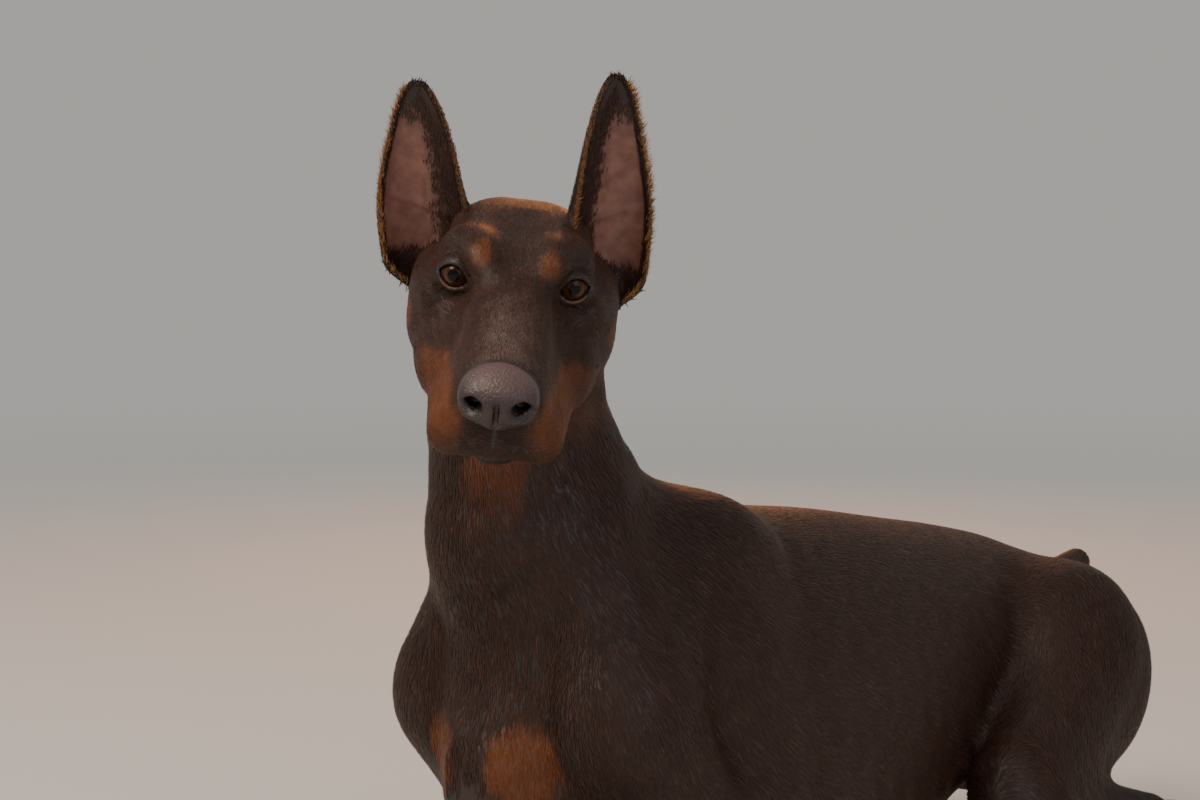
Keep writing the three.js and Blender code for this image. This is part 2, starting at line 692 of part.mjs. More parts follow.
for (const [name, place, pawBox] of [
  ["forepaw", FORE_PAW, FORE_PAW_BOX],
  ["hindpaw", HIND_PAW, HIND_PAW_BOX],
]) {
  const pawGeometry = surface(
    (x, y, z) => paw(x - place.x, y - place.y, z - place.z),
    [place.x - 45, place.y - 52, -22],
    [place.x + 92, place.y + 52, 62],
    PAW_CELL,
  );
  const leftPaw = solidOf(pawGeometry).subtract(underFloor).intersect(spreadBox(pawBox, 0));
  const clearOfPaw = solidOf(grown(pawGeometry, GAP));
  const claws = TOE_SIDES.map((toe) => {
    const ahead = Math.abs(toe) > OUTER_TOE ? 58 : 70;
    return solidOf(claw(at(place.x + ahead, place.y + toe * 1.1, 14))).subtract(clearOfPaw);
  });
  for (const [word, onSide] of SIDES) {
    parts.push([`${name}_${word}`, onSide(leftPaw), "rust"]);
    claws.forEach((horn, i) => parts.push([`${name}_${word}_claw_${i + 1}`, onSide(horn), "claw"]));
  }
}

// Ears: a cup rolled from a thin sheet, wide at the base and flat at the tip
function earPoint(word, share, turn, lift) {
  const [x, y, z] = along(EAR_LINE.map((row, i) => [i / (EAR_LINE.length - 1), ...row]), share);
  const [outerHalf, innerHalf, depth, inner, outer] = along(EAR_CUP, share);
  const angle = THREE.MathUtils.degToRad(-inner + turn * (inner + outer));
  const half = angle < 0 ? innerHalf : outerHalf;
  const facing = THREE.MathUtils.degToRad(EAR_OPENS[word]);
  const edge = Math.min(turn, 1 - turn) * 2;
  const thick = (EAR_EDGE + (EAR_THICK - EAR_EDGE) * Math.min(edge * 2, 1)) * (1 - 0.2 * share);
  const across = (half + lift * thick) * Math.sin(angle);
  const back = (depth + lift * thick) * Math.cos(angle) - depth * 0.5;
  return at(
    x - back * Math.cos(facing) - across * Math.sin(facing),
    y + EAR_LEAN[word] * share - back * Math.sin(facing) + across * Math.cos(facing),
    EAR_LINE[0][2] + (z - EAR_LINE[0][2]) * EAR_REACH[word],
  );
}

function earGeometry(word) {
  const { tall, round } = EAR_NET;
  const positions = [];
  for (const lift of [-0.5, 0.5])
    for (let i = 0; i <= tall; i += 1)
      for (let j = 0; j <= round; j += 1)
        positions.push(...earPoint(word, i / tall, j / round, lift).toArray());
  const index = (layer, i, j) => (layer * (tall + 1) + i) * (round + 1) + j;
  const faces = [];
  const quad = (a, b, c, d) => faces.push(a, b, c, a, c, d);
  for (let i = 0; i < tall; i += 1)
    for (let j = 0; j < round; j += 1) {
      quad(index(0, i, j), index(0, i, j + 1), index(0, i + 1, j + 1), index(0, i + 1, j));
      quad(index(1, i, j), index(1, i + 1, j), index(1, i + 1, j + 1), index(1, i, j + 1));
    }
  for (let i = 0; i < tall; i += 1) {
    quad(index(0, i, 0), index(0, i + 1, 0), index(1, i + 1, 0), index(1, i, 0));
    quad(index(0, i, round), index(1, i, round), index(1, i + 1, round), index(0, i + 1, round));
  }
  for (let j = 0; j < round; j += 1) {
    quad(index(0, 0, j), index(1, 0, j), index(1, 0, j + 1), index(0, 0, j + 1));
    quad(index(0, tall, j), index(0, tall, j + 1), index(1, tall, j + 1), index(1, tall, j));
  }
  const geometry = new THREE.BufferGeometry();
  geometry.setAttribute("position", new THREE.Float32BufferAttribute(positions, 3));
  geometry.setIndex(faces);
  return geometry;
}

const headCleared = solidOf(grown(headGeometry, GAP));
const placed = (solid) => solid.transform(HEAD_PLACE.toArray());
for (const [word, onSide] of SIDES) {
  const ear = onSide(solidOf(earGeometry(word)));
  parts.push([`ear_${word}`, placed(ear.subtract(headCleared)), "coat"]);
}

// Eyes, lids and the almond openings
const eyeBall = (radius, rings = 10) => solidOf(new THREE.SphereGeometry(radius, 2 * rings, rings));
let headSolid = headSurface;
for (const [side, word] of [[1, "left"], [-1, "right"]]) {
  const socket = new THREE.Matrix4().makeTranslation(EYE.x, side * EYE.y, EYE.z);
  const gaze = new THREE.Matrix4().makeRotationZ(side * THREE.MathUtils.degToRad(GAZE_OUT));
  const tilt = new THREE.Matrix4().makeRotationX(side * THREE.MathUtils.degToRad(EYE_OPENING.slant));
  // The opening is drawn in its own x and y, then faces along +x with its y upwards.
  const facing = new THREE.Matrix4().makeBasis(at(0, 1, 0), at(0, 0, 1), at(1, 0, 0));
  const almond = new THREE.Shape();
  const half = EYE_OPENING.length / 2;
  almond.moveTo(-half, 0);
  almond.quadraticCurveTo(0, -2 * EYE_OPENING.lower, half, 0);
  almond.quadraticCurveTo(0, 2 * EYE_OPENING.upper, -half, 0);
  const prism = new THREE.ExtrudeGeometry(almond, { depth: EYE_SLOT, bevelEnabled: false, curveSegments: 6 });
  const eyePlace = HEAD_PLACE.clone().multiply(socket);
  const opening = solidOf(prism, eyePlace.clone().multiply(gaze).multiply(tilt).multiply(facing));
  const lids = eyeBall(EYE_RADIUS + LID).transform(eyePlace.toArray());
  const hole = eyeBall(EYE_RADIUS + GAP).transform(eyePlace.toArray());
  headSolid = headSolid.add(lids).subtract(opening).subtract(hole);
  parts.push([`eye_${word}`, eyeBall(EYE_RADIUS).transform(eyePlace.toArray()), "eye"]);
}

// Nose leather with its nostrils and the groove between them
const nosePad = egg([120, 0, -19], [20, 21.5, 15.5]);
const noseFront = egg([130, 0, -25], [11.5, 17, 14.5]);
const wing = bothSides(egg([124, 15, -24], [13.5, 8.5, 12]));
const nostril = bothSides(limb([146, 13.5, -25], [124, 14.5, -20], 5.6, 4));
const nostrilRim = bothSides(limb([144.5, 10.5, -24.5], [136.5, 20.5, -26], 5.6, 5.4));
const nostrilSlit = bothSides(limb([137, 20, -27], [126, 28, -27], 3.4, 2.6));
const noseGroove = limb([142.5, 0, -19], [136, 0, -44], 1.7, 1.7);
function nose(x, y, z) {
  let out = smallest(nosePad(x, y, z), noseFront(x, y, z), 8);
  out = smallest(out, wing(x, y, z), 6);
  out = largest(out, -nostril(x, y, z), 3);
  out = largest(out, -nostrilRim(x, y, z), 3);
  out = largest(out, -nostrilSlit(x, y, z), 2);
  return largest(out, -noseGroove(x, y, z), 2);
}
const noseGeometry = surface(nose, [96, -32, -48], [154, 32, 6], NOSE_CELL);
parts.push(["nose", placed(solidOf(noseGeometry)), "nose"]);
headSolid = headSolid.subtract(placed(solidOf(grown(noseGeometry, GAP))));

// The line of the mouth: a thin curved sheet from cheek to cheek, cut in only as deep as the lips
const LIP_LINE = [
  [14, -48],
  [34, -57],
  [62, -64],
  [92, -68],
  [112, -68],
  [124, -66],
  [150, -65],
];
const LIP_GAP = 1.4;
const LIP_DEPTH = 5;
const MOUTH_WIDTH = 160; // wider than the head, so that the sheet reaches through both cheeks
function mouthSheet() {
  const curve = new THREE.SplineCurve(LIP_LINE.map(([x, z]) => new THREE.Vector2(x, z)));
  const middle = curve.getPoints(9);
  const outline = [
    ...middle.map((point) => new THREE.Vector2(point.x, point.y + LIP_GAP / 2)),
    ...middle.reverse().map((point) => new THREE.Vector2(point.x, point.y - LIP_GAP / 2)),
  ];
  const settings = { depth: MOUTH_WIDTH, bevelEnabled: false };
  const geometry = new THREE.ExtrudeGeometry(new THREE.Shape(outline), settings);
  const upright = new THREE.Matrix4().makeRotationX(Math.PI / 2);
  return solidOf(geometry, new THREE.Matrix4().makeTranslation(0, MOUTH_WIDTH / 2, 0).multiply(upright));
}
const headCore = solidOf(
  surface((x, y, z) => headForm(x, y, z) + LIP_DEPTH, [-140, -90, -100], [140, 90, 60], HEAD_CELL * 2),
);
headSolid = headSolid.subtract(placed(mouthSheet().subtract(headCore)));
headSolid = headSolid.subtract(beyondPlane(HEAD_CUT.point, HEAD_CUT.normal, -GAP / 2));

parts.push(["head", headSolid, "coat"], ["neck", neckSolid, "coat"]);
parts.push(["torso", trunkSolid, "coat"], ["tail", tailSolid, "coat"]);

const FINISH = {
  coat: { color: 0x3b241c, roughness: 0.55 },
  rust: { color: 0x7a3d1c, roughness: 0.6 },
  nose: { color: 0x5b4340, roughness: 0.45 },
  eye: { color: 0x3a1c0c, roughness: 0.08 },
  claw: { color: 0x3a2a24, roughness: 0.4 },
};

const root = new THREE.Group();
for (const [name, solid, finish] of parts) {
  const material = new THREE.MeshStandardMaterial({ ...FINISH[finish], metalness: 0 });
  const mesh = new THREE.Mesh(geometryOf(mainBody(solid)), material);
  mesh.name = name;
  root.add(mesh);
}

export default root;
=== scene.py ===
"""A doberman pinscher lying on its belly, as a still, life-size museum model. One skin covers
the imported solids. Over it lie a short sleek coat in flat tufts, the eyes, the nose and the claws.
Lengths are in millimetres while the shapes are made, and in metres in the scene."""

import math

import bpy
import numpy as np
from mathutils import Matrix, Vector


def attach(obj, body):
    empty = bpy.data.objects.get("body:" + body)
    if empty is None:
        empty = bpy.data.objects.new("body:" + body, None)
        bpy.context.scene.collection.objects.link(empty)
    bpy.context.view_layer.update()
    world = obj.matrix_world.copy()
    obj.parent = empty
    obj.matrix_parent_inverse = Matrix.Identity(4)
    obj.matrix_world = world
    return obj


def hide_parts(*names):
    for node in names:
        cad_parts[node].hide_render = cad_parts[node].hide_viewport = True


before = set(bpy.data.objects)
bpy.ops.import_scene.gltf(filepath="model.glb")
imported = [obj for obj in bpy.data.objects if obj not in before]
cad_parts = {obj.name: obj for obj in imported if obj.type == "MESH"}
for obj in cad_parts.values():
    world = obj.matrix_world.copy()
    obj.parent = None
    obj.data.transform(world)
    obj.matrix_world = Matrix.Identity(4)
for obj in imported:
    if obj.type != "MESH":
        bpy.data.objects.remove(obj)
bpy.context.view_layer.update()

MM = 0.001
SEED = 11
COAT_DEPTH = 1.0  # the skin lies this far inside the solids, and the coat fills the rest
rng = np.random.default_rng(SEED)

# Sizes shared with the solids

ATLAS = (114, -5, 532)
HEAD_YAW, HEAD_PITCH, HEAD_ROLL = 38.7, 20, -7
ATLAS_IN_HEAD = (-98, 0, -24)

# x, height of the back, height of the underline, half width, height of the widest place
TRUNK = [
    (-582, 190, 150, 18, 170),
    (-556, 232, 100, 58, 165),
    (-512, 260, 70, 78, 165),
    (-450, 285, 66, 86, 170),
    (-378, 302, 80, 84, 190),
    (-295, 317, 60, 95, 180),
    (-205, 333, 12, 109, 160),
    (-110, 346, -5, 115, 150),
    (-30, 364, -5, 108, 150),
    (40, 350, 2, 93, 160),
    (100, 310, 38, 75, 178),
    (145, 262, 92, 50, 186),
    (172, 216, 158, 20, 190),
]
TRUNK_POWER = 2.25
# x, y, z of its middle, half depth fore and aft, half width
NECK = [
    (48, -3, 262, 106, 82),
    (92, -8, 350, 88, 67),
    (112, -8, 420, 66, 58),
    (114, -4, 466, 57, 53),
    (113, -4, 500, 48, 49),
]
# x, top, bottom, half width at the top, half width at the bottom, corner radius
SKULL = [
    (-126, 4, -34, 16, 20, 16),
    (-104, 16, -54, 32, 42, 20),
    (-70, 23.5, -64, 42, 58, 18),
    (-35, 25, -66, 42, 61, 18),
    (-5, 24, -63, 35, 57, 18),
    (24, 15.5, -57, 26, 49, 17),
]
MUZZLE = [
    (-14, 20, -58, 26, 48, 18),
    (16, 13, -63, 23, 48, 18),
    (50, 7, -65, 22, 46, 19),
    (90, 1, -67, 21, 43.5, 19),
    (116, -4, -66, 19, 40, 14),
    (130, -12, -61, 13, 31, 11),
]
LOWER_JAW = [
    (-62, -30, -90, 48, 29, 20),
    (-20, -36, -90, 48, 29, 20),
    (30, -44, -84, 38, 24, 18),
    (80, -53, -77, 29, 20, 13),
    (100, -57, -75.5, 22, 15, 10),
    (110, -60, -72, 15, 10, 7),
]
EYE = (-2, 35.5, 1)
EYE_RADIUS = 11
LID = 2
GAZE_OUT = 16
EYE_LENGTH, EYE_UPPER, EYE_LOWER, EYE_SLANT = 20.5, 8, 6.6, 6
EAR_LINE = [
    (-70, 55, -44),
    (-72, 58, -2),
    (-75, 60, 36),
    (-78, 60.5, 72),
    (-78, 62, 105),
]
EAR_OPENS = {1: 36, -1: 16}
EAR_CUP = [
    (0, 5, 16, 9, 105, 95),
    (0.1, 22.5, 31, 21, 105, 94),
    (0.2, 25.5, 37, 24, 105, 92),
    (0.42, 27.5, 34, 18, 100, 88),
    (0.62, 23.5, 26, 11, 92, 86),
    (0.8, 17.5, 18.5, 6, 88, 86),
    (0.9, 13, 13.5, 4, 86, 86),
    (0.97, 8, 8, 2.5, 86, 86),
    (1, 4, 4, 1.5, 86, 86),
]
EAR_THICK, EAR_EDGE = 4.8, 3.4
EAR_LEAN = 13  # how far each tip leans to the dog's right
EAR_REACH = {1: 1.058, -1: 0.928}  # share of its full height that the left and the right ear reaches
EAR_CREASE = 0.4
EAR_COAT = 0.8  # the coat on the ears is this much thinner
FORE_PAW = (262, 90, 0)
HIND_PAW = (-396, 140, 0)
TOE_SIDES = (-23, -8, 8, 23)
LIP_LINE = [
    (14, -48),
    (34, -57),
    (62, -64),
    (92, -68),
    (112, -68),
    (124, -66),
    (150, -65),
]
LIP_SLIT, LIP_DEPTH = 0.5, 3.0
# how softly the forms run into one another
NECK_BLEND, TAIL_BLEND, PAW_BLEND, HEAD_BLEND, EAR_BLEND = 44, 18, 4, 26, 6
OUTER_TOE = 15  # toes further than this from a paw's middle are shorter
# Marks in the head's frame: the centre of the spot over an eye and on a cheek, and the line on the
# muzzle below which the rust starts.
BROW_SPOT = (8, 21, 20.5)
CHEEK_SPOT = (-28, 58, -40)
MUZZLE_RUST = [(-60, -98), (-25, -86), (0, -64), (20, -42), (40, -33), (80, -26), (110, -25), (130, -32)]

# Forms as distance fields


def smallest(a, b, blend):
    h = np.maximum(blend - np.abs(a - b), 0) / blend
    return np.minimum(a, b) - h * h * blend / 4


def largest(a, b, blend):
    return -smallest(-a, -b, blend)


def soft_step(low, high, value):
    t = np.clip((value - low) / (high - low), 0, 1)
    return t * t * (3 - 2 * t)


def along(rows, x):
    """The columns of a table at x, by a smooth curve through its rows."""
    rows = np.asarray(rows, float)
    last = len(rows) - 1
    at = np.clip(x, rows[0, 0], rows[last, 0])
    i = np.clip(np.searchsorted(rows[:, 0], at, side="right") - 1, 0, last - 1)
    before = rows[np.maximum(np.arange(last + 1) - 1, 0)]
    after = rows[np.minimum(np.arange(last + 1) + 1, last)]
    slopes = (after[:, 1:] - before[:, 1:]) / (after[:, :1] - before[:, :1])
    width = rows[i + 1, 0] - rows[i, 0]
    t = (at - rows[i, 0]) / width
    out = []
    for c in range(rows.shape[1] - 1):
        value, rise = rows[i, c + 1], rows[i + 1, c + 1] - rows[i, c + 1]
        start, end = slopes[i, c] * width, slopes[i + 1, c] * width
        out.append(value + t * (start + t * (3 * rise - 2 * start - end + t * (start + end - 2 * rise))))
    return out


def limb(a, b, start, end, wide=1.0):
    a, d = np.asarray(a, float), np.subtract(b, a).astype(float)
    squared = d @ d

    def field(x, y, z):
        t = np.clip(((x - a[0]) * d[0] + (y - a[1]) * d[1] + (z - a[2]) * d[2]) / squared, 0, 1)
        off = np.sqrt(
            (x - a[0] - t * d[0]) ** 2 + ((y - a[1] - t * d[1]) / wide) ** 2 + (z - a[2] - t * d[2]) ** 2
        )
        return (off - start - t * (end - start)) * min(wide, 1)

    return field


def ball(c, radius):
    return lambda x, y, z: np.sqrt((x - c[0]) ** 2 + (y - c[1]) ** 2 + (z - c[2]) ** 2) - radius


def egg(c, r):
    def field(x, y, z):
        near = np.sqrt(((x - c[0]) / r[0]) ** 2 + ((y - c[1]) / r[1]) ** 2 + ((z - c[2]) / r[2]) ** 2)
        steep = np.sqrt(
            ((x - c[0]) / r[0] ** 2) ** 2 + ((y - c[1]) / r[1] ** 2) ** 2 + ((z - c[2]) / r[2] ** 2) ** 2
        )
        return near * (near - 1) / np.maximum(steep, 1e-6)

    return field


def trunk(x, y, z):
    top, bottom, half, widest = along(TRUNK, x)
    up = np.where(z > widest, (z - widest) / (top - widest), (widest - z) / (widest - bottom))
    share = ((np.abs(y) / half) ** TRUNK_POWER + np.maximum(up, 0) ** TRUNK_POWER) ** (1 / TRUNK_POWER)
    off = np.hypot(y, z - widest)
    inside = np.where(share > 0.02, off * (1 - 1 / np.maximum(share, 0.02)), -half)
    beyond = np.maximum(np.maximum(TRUNK[0][0] - x, x - TRUNK[-1][0]), 0)
    return np.where(beyond > 0, np.hypot(np.maximum(inside, 0), beyond), inside)


def neck(x, y, z):
    nearest = np.full_like(x, 1e6)
    for (ax, ay, az, deep_a, wide_a), (bx, by, bz, deep_b, wide_b) in zip(NECK, NECK[1:]):
        dx, dy, dz = bx - ax, by - ay, bz - az
        t = ((x - ax) * dx + (y - ay) * dy + (z - az) * dz) / (dx * dx + dy * dy + dz * dz)
        t = np.clip(t, 0, 1)
        deep, wide = deep_a + t * (deep_b - deep_a), wide_a + t * (wide_b - wide_a)
        sideways = (y - ay - t * dy) * deep / wide
        off = np.sqrt((x - ax - t * dx) ** 2 + sideways**2 + (z - az - t * dz) ** 2)
        nearest = np.minimum(nearest, (off - deep) * (wide / deep))
    return nearest


def wedge(rows):
    front, back = rows[-1][0], rows[0][0]

    def field(x, y, z):
        top, bottom, half_top, half_bottom, soft = along(rows, x)
        height = top - bottom
        share = np.clip((z - bottom) / height, 0, 1)
        half = half_bottom + share * (half_top - half_bottom)
        slant = height / np.hypot(height, half_bottom - half_top)
        sideways = (np.abs(y) - half) * slant + soft
        upright = np.abs(z - (top + bottom) / 2) - height / 2 + soft
        lengthways = np.maximum(back - x, x - front) + soft
        out = np.sqrt(
            np.maximum(sideways, 0) ** 2 + np.maximum(upright, 0) ** 2 + np.maximum(lengthways, 0) ** 2
        )
        return out + np.minimum(np.maximum(np.maximum(sideways, upright), lengthways), 0) - soft

    return field


def both_sides(field):
    return lambda x, y, z: field(x, np.abs(y), z)


SHOULDER_AND_ARM = [
    (limb((-36, 44, 316), (94, 73, 236), 36, 42, 0.8), 34),
    (limb((98, 38, 350), (98, 69, 250), 24, 36), 40),
    (limb((100, 76, 222), (-14, 95, 78), 41, 37), 26),
    (limb((-14, 78, 250), (-40, 96, 92), 40, 36, 0.8), 26),
    (ball((-38, 101, 50), 28), 18),
    (limb((-24, 102, 37), (105, 97, 26), 38, 27), 16),
    (limb((105, 97, 26), (205, 92, 20), 27, 21), 12),
    (ball((208, 91, 22), 23), 10),
    (limb((208, 91, 22), (268, 90, 24), 19, 22), 10),
]
THIGH_AND_HOCK = [
    (egg((-476, 72, 184), (82, 54, 78)), 40),
    (limb((-462, 92, 166), (-316, 132, 108), 80, 52, 0.66), 34),
    (limb((-314, 136, 88), (-500, 140, 48), 45, 28, 0.85), 16),
    (ball((-528, 139, 38), 21), 12),
    (ball((-550, 138, 46), 14), 12),
    (limb((-524, 139, 18), (-400, 140, 18), 20, 19), 10),
]
TAIL = limb((-545, 0, 220), (-626, 0, 240), 21, 13)


def body(x, y, z):
    out = smallest(trunk(x, y, z), neck(x, y, z), NECK_BLEND)
    side = np.abs(y)
    for parts, low, high in ((SHOULDER_AND_ARM, -150, 330), (THIGH_AND_HOCK, -700, -210)):
        near = (x > low) & (x < high) & (z < 440)
        px, py, pz, value = x[near], side[near], z[near], out[near]
        for field, soft in parts:
            value = smallest(value, field(px, py, pz), soft)
        out[near] = value
    return smallest(out, TAIL(x, y, z), TAIL_BLEND)


def paw(x, y, z):
    out = limb((-6, 0, 27), (20, 0, 25), 22, 21, 1.12)(x, y, z)
    out = smallest(out, egg((34, 0, 9), (20, 21, 11))(x, y, z), 10)
    for side in TOE_SIDES:
        outer = 1 if abs(side) > OUTER_TOE else 0
        knuckle = (41 - 9 * outer, side * 1.02, 31 - 4 * outer)
        end = (67 - 12 * outer, side * 1.1, 10)
        toe = smallest(
            limb((14, side * 0.7, 26), knuckle, 12, 11.6)(x, y, z), limb(knuckle, end, 11.6, 10.6)(x, y, z), 5
        )
        out = smallest(out, toe, 3.5)
    return out


skull, muzzle, lower_jaw = wedge(SKULL), wedge(MUZZLE), wedge(LOWER_JAW)
ADDED_TO_HEAD = [
    (egg((-48, 51, -44), (38, 17, 32)), 16),
    (limb((0, 47, -17), (-72, 54, -24), 9, 8), 20),
    (egg((10, 42, -54), (34, 13, 17)), 18),
    (limb((4, 23, 13), (-16, 37, 13), 12, 10), 18),
]
CARVED_FROM_HEAD = [
    (limb((14, 0, 30), (-50, 0, 40), 9, 9), 16),
    (egg((38, 50, -14), (30, 14, 13)), 18),
    (egg((18, 39, -1), (15, 12, 12)), 14),
]
LID_BALL = ball(EYE, EYE_RADIUS + LID)
FLEW = limb((34, 33, -55), (106, 28, -55), 12.5, 11.5)
CHIN = egg((100, 0, -70), (10, 12, 6.5))


def head_form(x, y, z):
    side = np.abs(y)
    out = smallest(skull(x, y, z), muzzle(x, y, z), 22)
    for field, soft in ADDED_TO_HEAD:
        out = smallest(out, field(x, side, z), soft)
    for field, soft in CARVED_FROM_HEAD:
        out = largest(out, -field(x, side, z), soft)
    out = smallest(out, LID_BALL(x, side, z), 8)
    out = smallest(out, FLEW(x, side, z), 10)
    out = smallest(out, lower_jaw(x, y, z), 5)
    return smallest(out, CHIN(x, y, z), 6)


def turn_matrix(axis, degrees):
    return np.array(Matrix.Rotation(math.radians(degrees), 3, axis))


HEAD_TURN = turn_matrix("Z", HEAD_YAW) @ turn_matrix("Y", HEAD_PITCH) @ turn_matrix("X", HEAD_ROLL)
HEAD_PLACE = np.array(ATLAS) - HEAD_TURN @ np.array(ATLAS_IN_HEAD)


def into_head(points):
    return (points - HEAD_PLACE) @ HEAD_TURN


def out_of_head(points):
    return np.asarray(points, float) @ HEAD_TURN.T + HEAD_PLACE


def ear_cup(share):
    """The cup at each share of an ear's height: its middle x, y, z, its half width out and in, its
    depth, and where its inner and outer edges are in degrees."""
    line = [(i / (len(EAR_LINE) - 1), *row) for i, row in enumerate(EAR_LINE)]
    return (*along(line, share), *along(EAR_CUP, share))


def ear_place(x, y, z):
    """Where a point lies on the cup of the nearer ear: its share of the ear's height, its place
    across and behind the cup's middle, the cup's half width and depth, where its inner and outer
    edges are in degrees, and how far the point is over the tip."""
    base, tip = EAR_LINE[0][2], EAR_LINE[-1][2]
    left = y > 0
    z = base + (z - base) / np.where(left, EAR_REACH[1], EAR_REACH[-1])
    share = np.clip((z - base) / (tip - base), 0, 1)
    y = np.abs(y) + np.where(left, EAR_LEAN, -EAR_LEAN) * share
    middle_x, middle_y, _, outer_half, inner_half, depth, inner, outer = ear_cup(share)
    opens = np.radians(np.where(left, EAR_OPENS[1], EAR_OPENS[-1]))
    c, s = np.cos(opens), np.sin(opens)
    px, py = x - middle_x, y - middle_y
    across = -px * s + py * c
    half = np.where(across < 0, inner_half, outer_half)
    return share, across, -px * c - py * s + depth * 0.5, half, depth, inner, outer, z - tip


def ear(x, y, z):
    """Distance to the skin of the nearer ear, a thin cup with a crease across its inside."""
    share, across, back, half, depth, inner, outer, over = ear_place(x, y, z)
    angle = np.arctan2(across / half, back / depth)
    low, high = -np.radians(inner), np.radians(outer)
    held = np.clip(angle, low, high)
    radius = np.sqrt((across / half) ** 2 + (back / depth) ** 2)
    steep = np.sqrt((across / half**2) ** 2 + (back / depth**2) ** 2) / np.maximum(radius, 1e-6)
    to_wall = np.abs(radius - 1) / np.maximum(steep, 1e-6)
    to_edge = np.hypot(across - half * np.sin(held), back - depth * np.cos(held))
    off = np.where(held == angle, np.minimum(to_wall, to_edge + 40), to_edge)
    off = np.hypot(off, np.maximum(over, 0))
    turned = (held - low) / (high - low)
    edge = np.minimum(np.minimum(turned, 1 - turned) * 4, 1)
    thick = (EAR_EDGE + (EAR_THICK - EAR_EDGE) * edge) * (1 - 0.2 * share)
    crease = np.exp(-(((share - EAR_CREASE - 0.04 * held) / 0.022) ** 2)) * (radius < 1) * edge
    below = EAR_LINE[0][2] - 6 - EAR_LINE[-1][2]
    return np.where(over < below, 50.0, off - thick / 2 - 1.3 * crease)


def lip_height(x):
    rows = np.array(LIP_LINE, float)
    return along(rows, x)[0]


def eye_opening(x, side, z):
    """The almond between the lids, drawn out along the gaze; below zero inside."""
    px, py, pz = x - EYE[0], side - EYE[1], z - EYE[2]
    g = math.radians(GAZE_OUT)
    ahead = px * math.cos(g) + py * math.sin(g)
    u = -px * math.sin(g) + py * math.cos(g)
    t = math.radians(EYE_SLANT)
    u, v = u * math.cos(t) + pz * math.sin(t), -u * math.sin(t) + pz * math.cos(t)
    share = np.clip(1 - (2 * u / EYE_LENGTH) ** 2, 0, 1) ** 0.8
    upper, lower = EYE_UPPER * share, EYE_LOWER * share
    out = np.where(v > 0, v - upper, -v - lower)
    out = np.maximum(out, np.abs(u) - EYE_LENGTH / 2)
    return np.maximum(out * 0.8, 4 - ahead)


NOSE_PARTS = [
    (egg((120, 0, -19), (20, 21.5, 15.5)), 0),
    (egg((130, 0, -25), (11.5, 17, 14.5)), 8),
    (egg((124, 15, -24), (13.5, 8.5, 12)), 6),
]
NOSE_CARVED = [
    (limb((146, 13.5, -25), (124, 14.5, -20), 5.6, 4), 3),
    (limb((144.5, 10.5, -24.5), (136.5, 20.5, -26), 5.6, 5.4), 3),
    (limb((137, 20, -27), (126, 28, -27), 3.4, 2.6), 2),
    (limb((142.5, 0, -19), (136, 0, -44), 1.7, 1.7), 1.5),
]


def nose_field(p):
    x, side, z = p[:, 0], np.abs(p[:, 1]), p[:, 2]
    out = NOSE_PARTS[0][0](x, side, z)
    for field, soft in NOSE_PARTS[1:]:
        out = smallest(out, field(x, side, z), soft)
    for field, soft in NOSE_CARVED:
        out = largest(out, -field(x, side, z), soft)
    return out


LID_RING = ball(EYE, EYE_RADIUS + 0.1)
LID_EDGE, LID_FOLD = 0.5, 0.9  # height of the lids' edge and depth of the furrow round them


def lid_relief(x, side, z):
    """How far the skin round the eyes stands out as the lids' edge, or sinks in as the fold over them."""
    off = eye_opening(x, side, z)
    over = 0.45 + 0.55 * soft_step(-6, 4, z - EYE[2])
    edge = np.exp(-(((off - 1.4) / 1.1) ** 2))
    fold = np.exp(-(((off - 4.4) / 1.2) ** 2)) + 0.4 * np.exp(-(((off - 8.2) / 1.3) ** 2))
    return LID_EDGE * edge - LID_FOLD * fold * over


# Shallow furrows between the muscles and the ribs, as seen from the side: line, width, depth, and
# how far out they start.
FURROWS = [
    (((-92, 318), (-72, 250), (-80, 150)), 13, 2.6, 40),
    (((26, 304), (44, 250), (18, 190)), 10, 1.8, 40),
    (((-398, 262), (-372, 205), (-322, 172)), 13, 2.6, 30),
    (((-520, 232), (-480, 165), (-420, 120)), 14, 1.8, 40),
    (((96, 440), (104, 380), (120, 310)), 12, 2.0, 25),
    (((-28, 90), (60, 52), (180, 40)), 8, 1.4, 60),
] + [(((x, 255), (x - 14, 190), (x - 34, 120)), 8, 0.9, 60) for x in range(-270, -110, 30)]
# The same on the chest, as seen from the front.
CHEST_FURROWS = [
    (((46, 285), (50, 230), (40, 170), (52, 100)), 10, 3.0, 60),
    (((0, 250), (0, 190), (0, 130)), 7, 1.6, 90),
]


def furrow_depth(p):
    """How deep the furrows between the muscles and the ribs lie at each point."""
    out = np.zeros(len(p))
    side = np.abs(p[:, 1])
    from_side, from_front = np.stack([p[:, 0], p[:, 2]], -1), np.stack([side, p[:, 2]], -1)
    drawn = [(from_side, side, *row) for row in FURROWS]
    drawn += [(from_front, p[:, 0], *row) for row in CHEST_FURROWS]
    for seen, towards, line, width, depth, start in drawn:
        low, high = np.min(line, axis=0) - 2 * width, np.max(line, axis=0) + 2 * width
        near = np.all((seen > low) & (seen < high), axis=1) & (towards > start)
        q = seen[near]
        off = np.full(len(q), 1e3)
        for a, b in zip(line, line[1:]):
            d = np.subtract(b, a)
            t = np.clip((q - a) @ d / (d @ d), 0, 1)
            off = np.minimum(off, np.linalg.norm(q - a - t[:, None] * d, axis=1))
        out[near] += depth * np.exp(-((off / width) ** 2)) * soft_step(start, start + 22, towards[near])
    return out


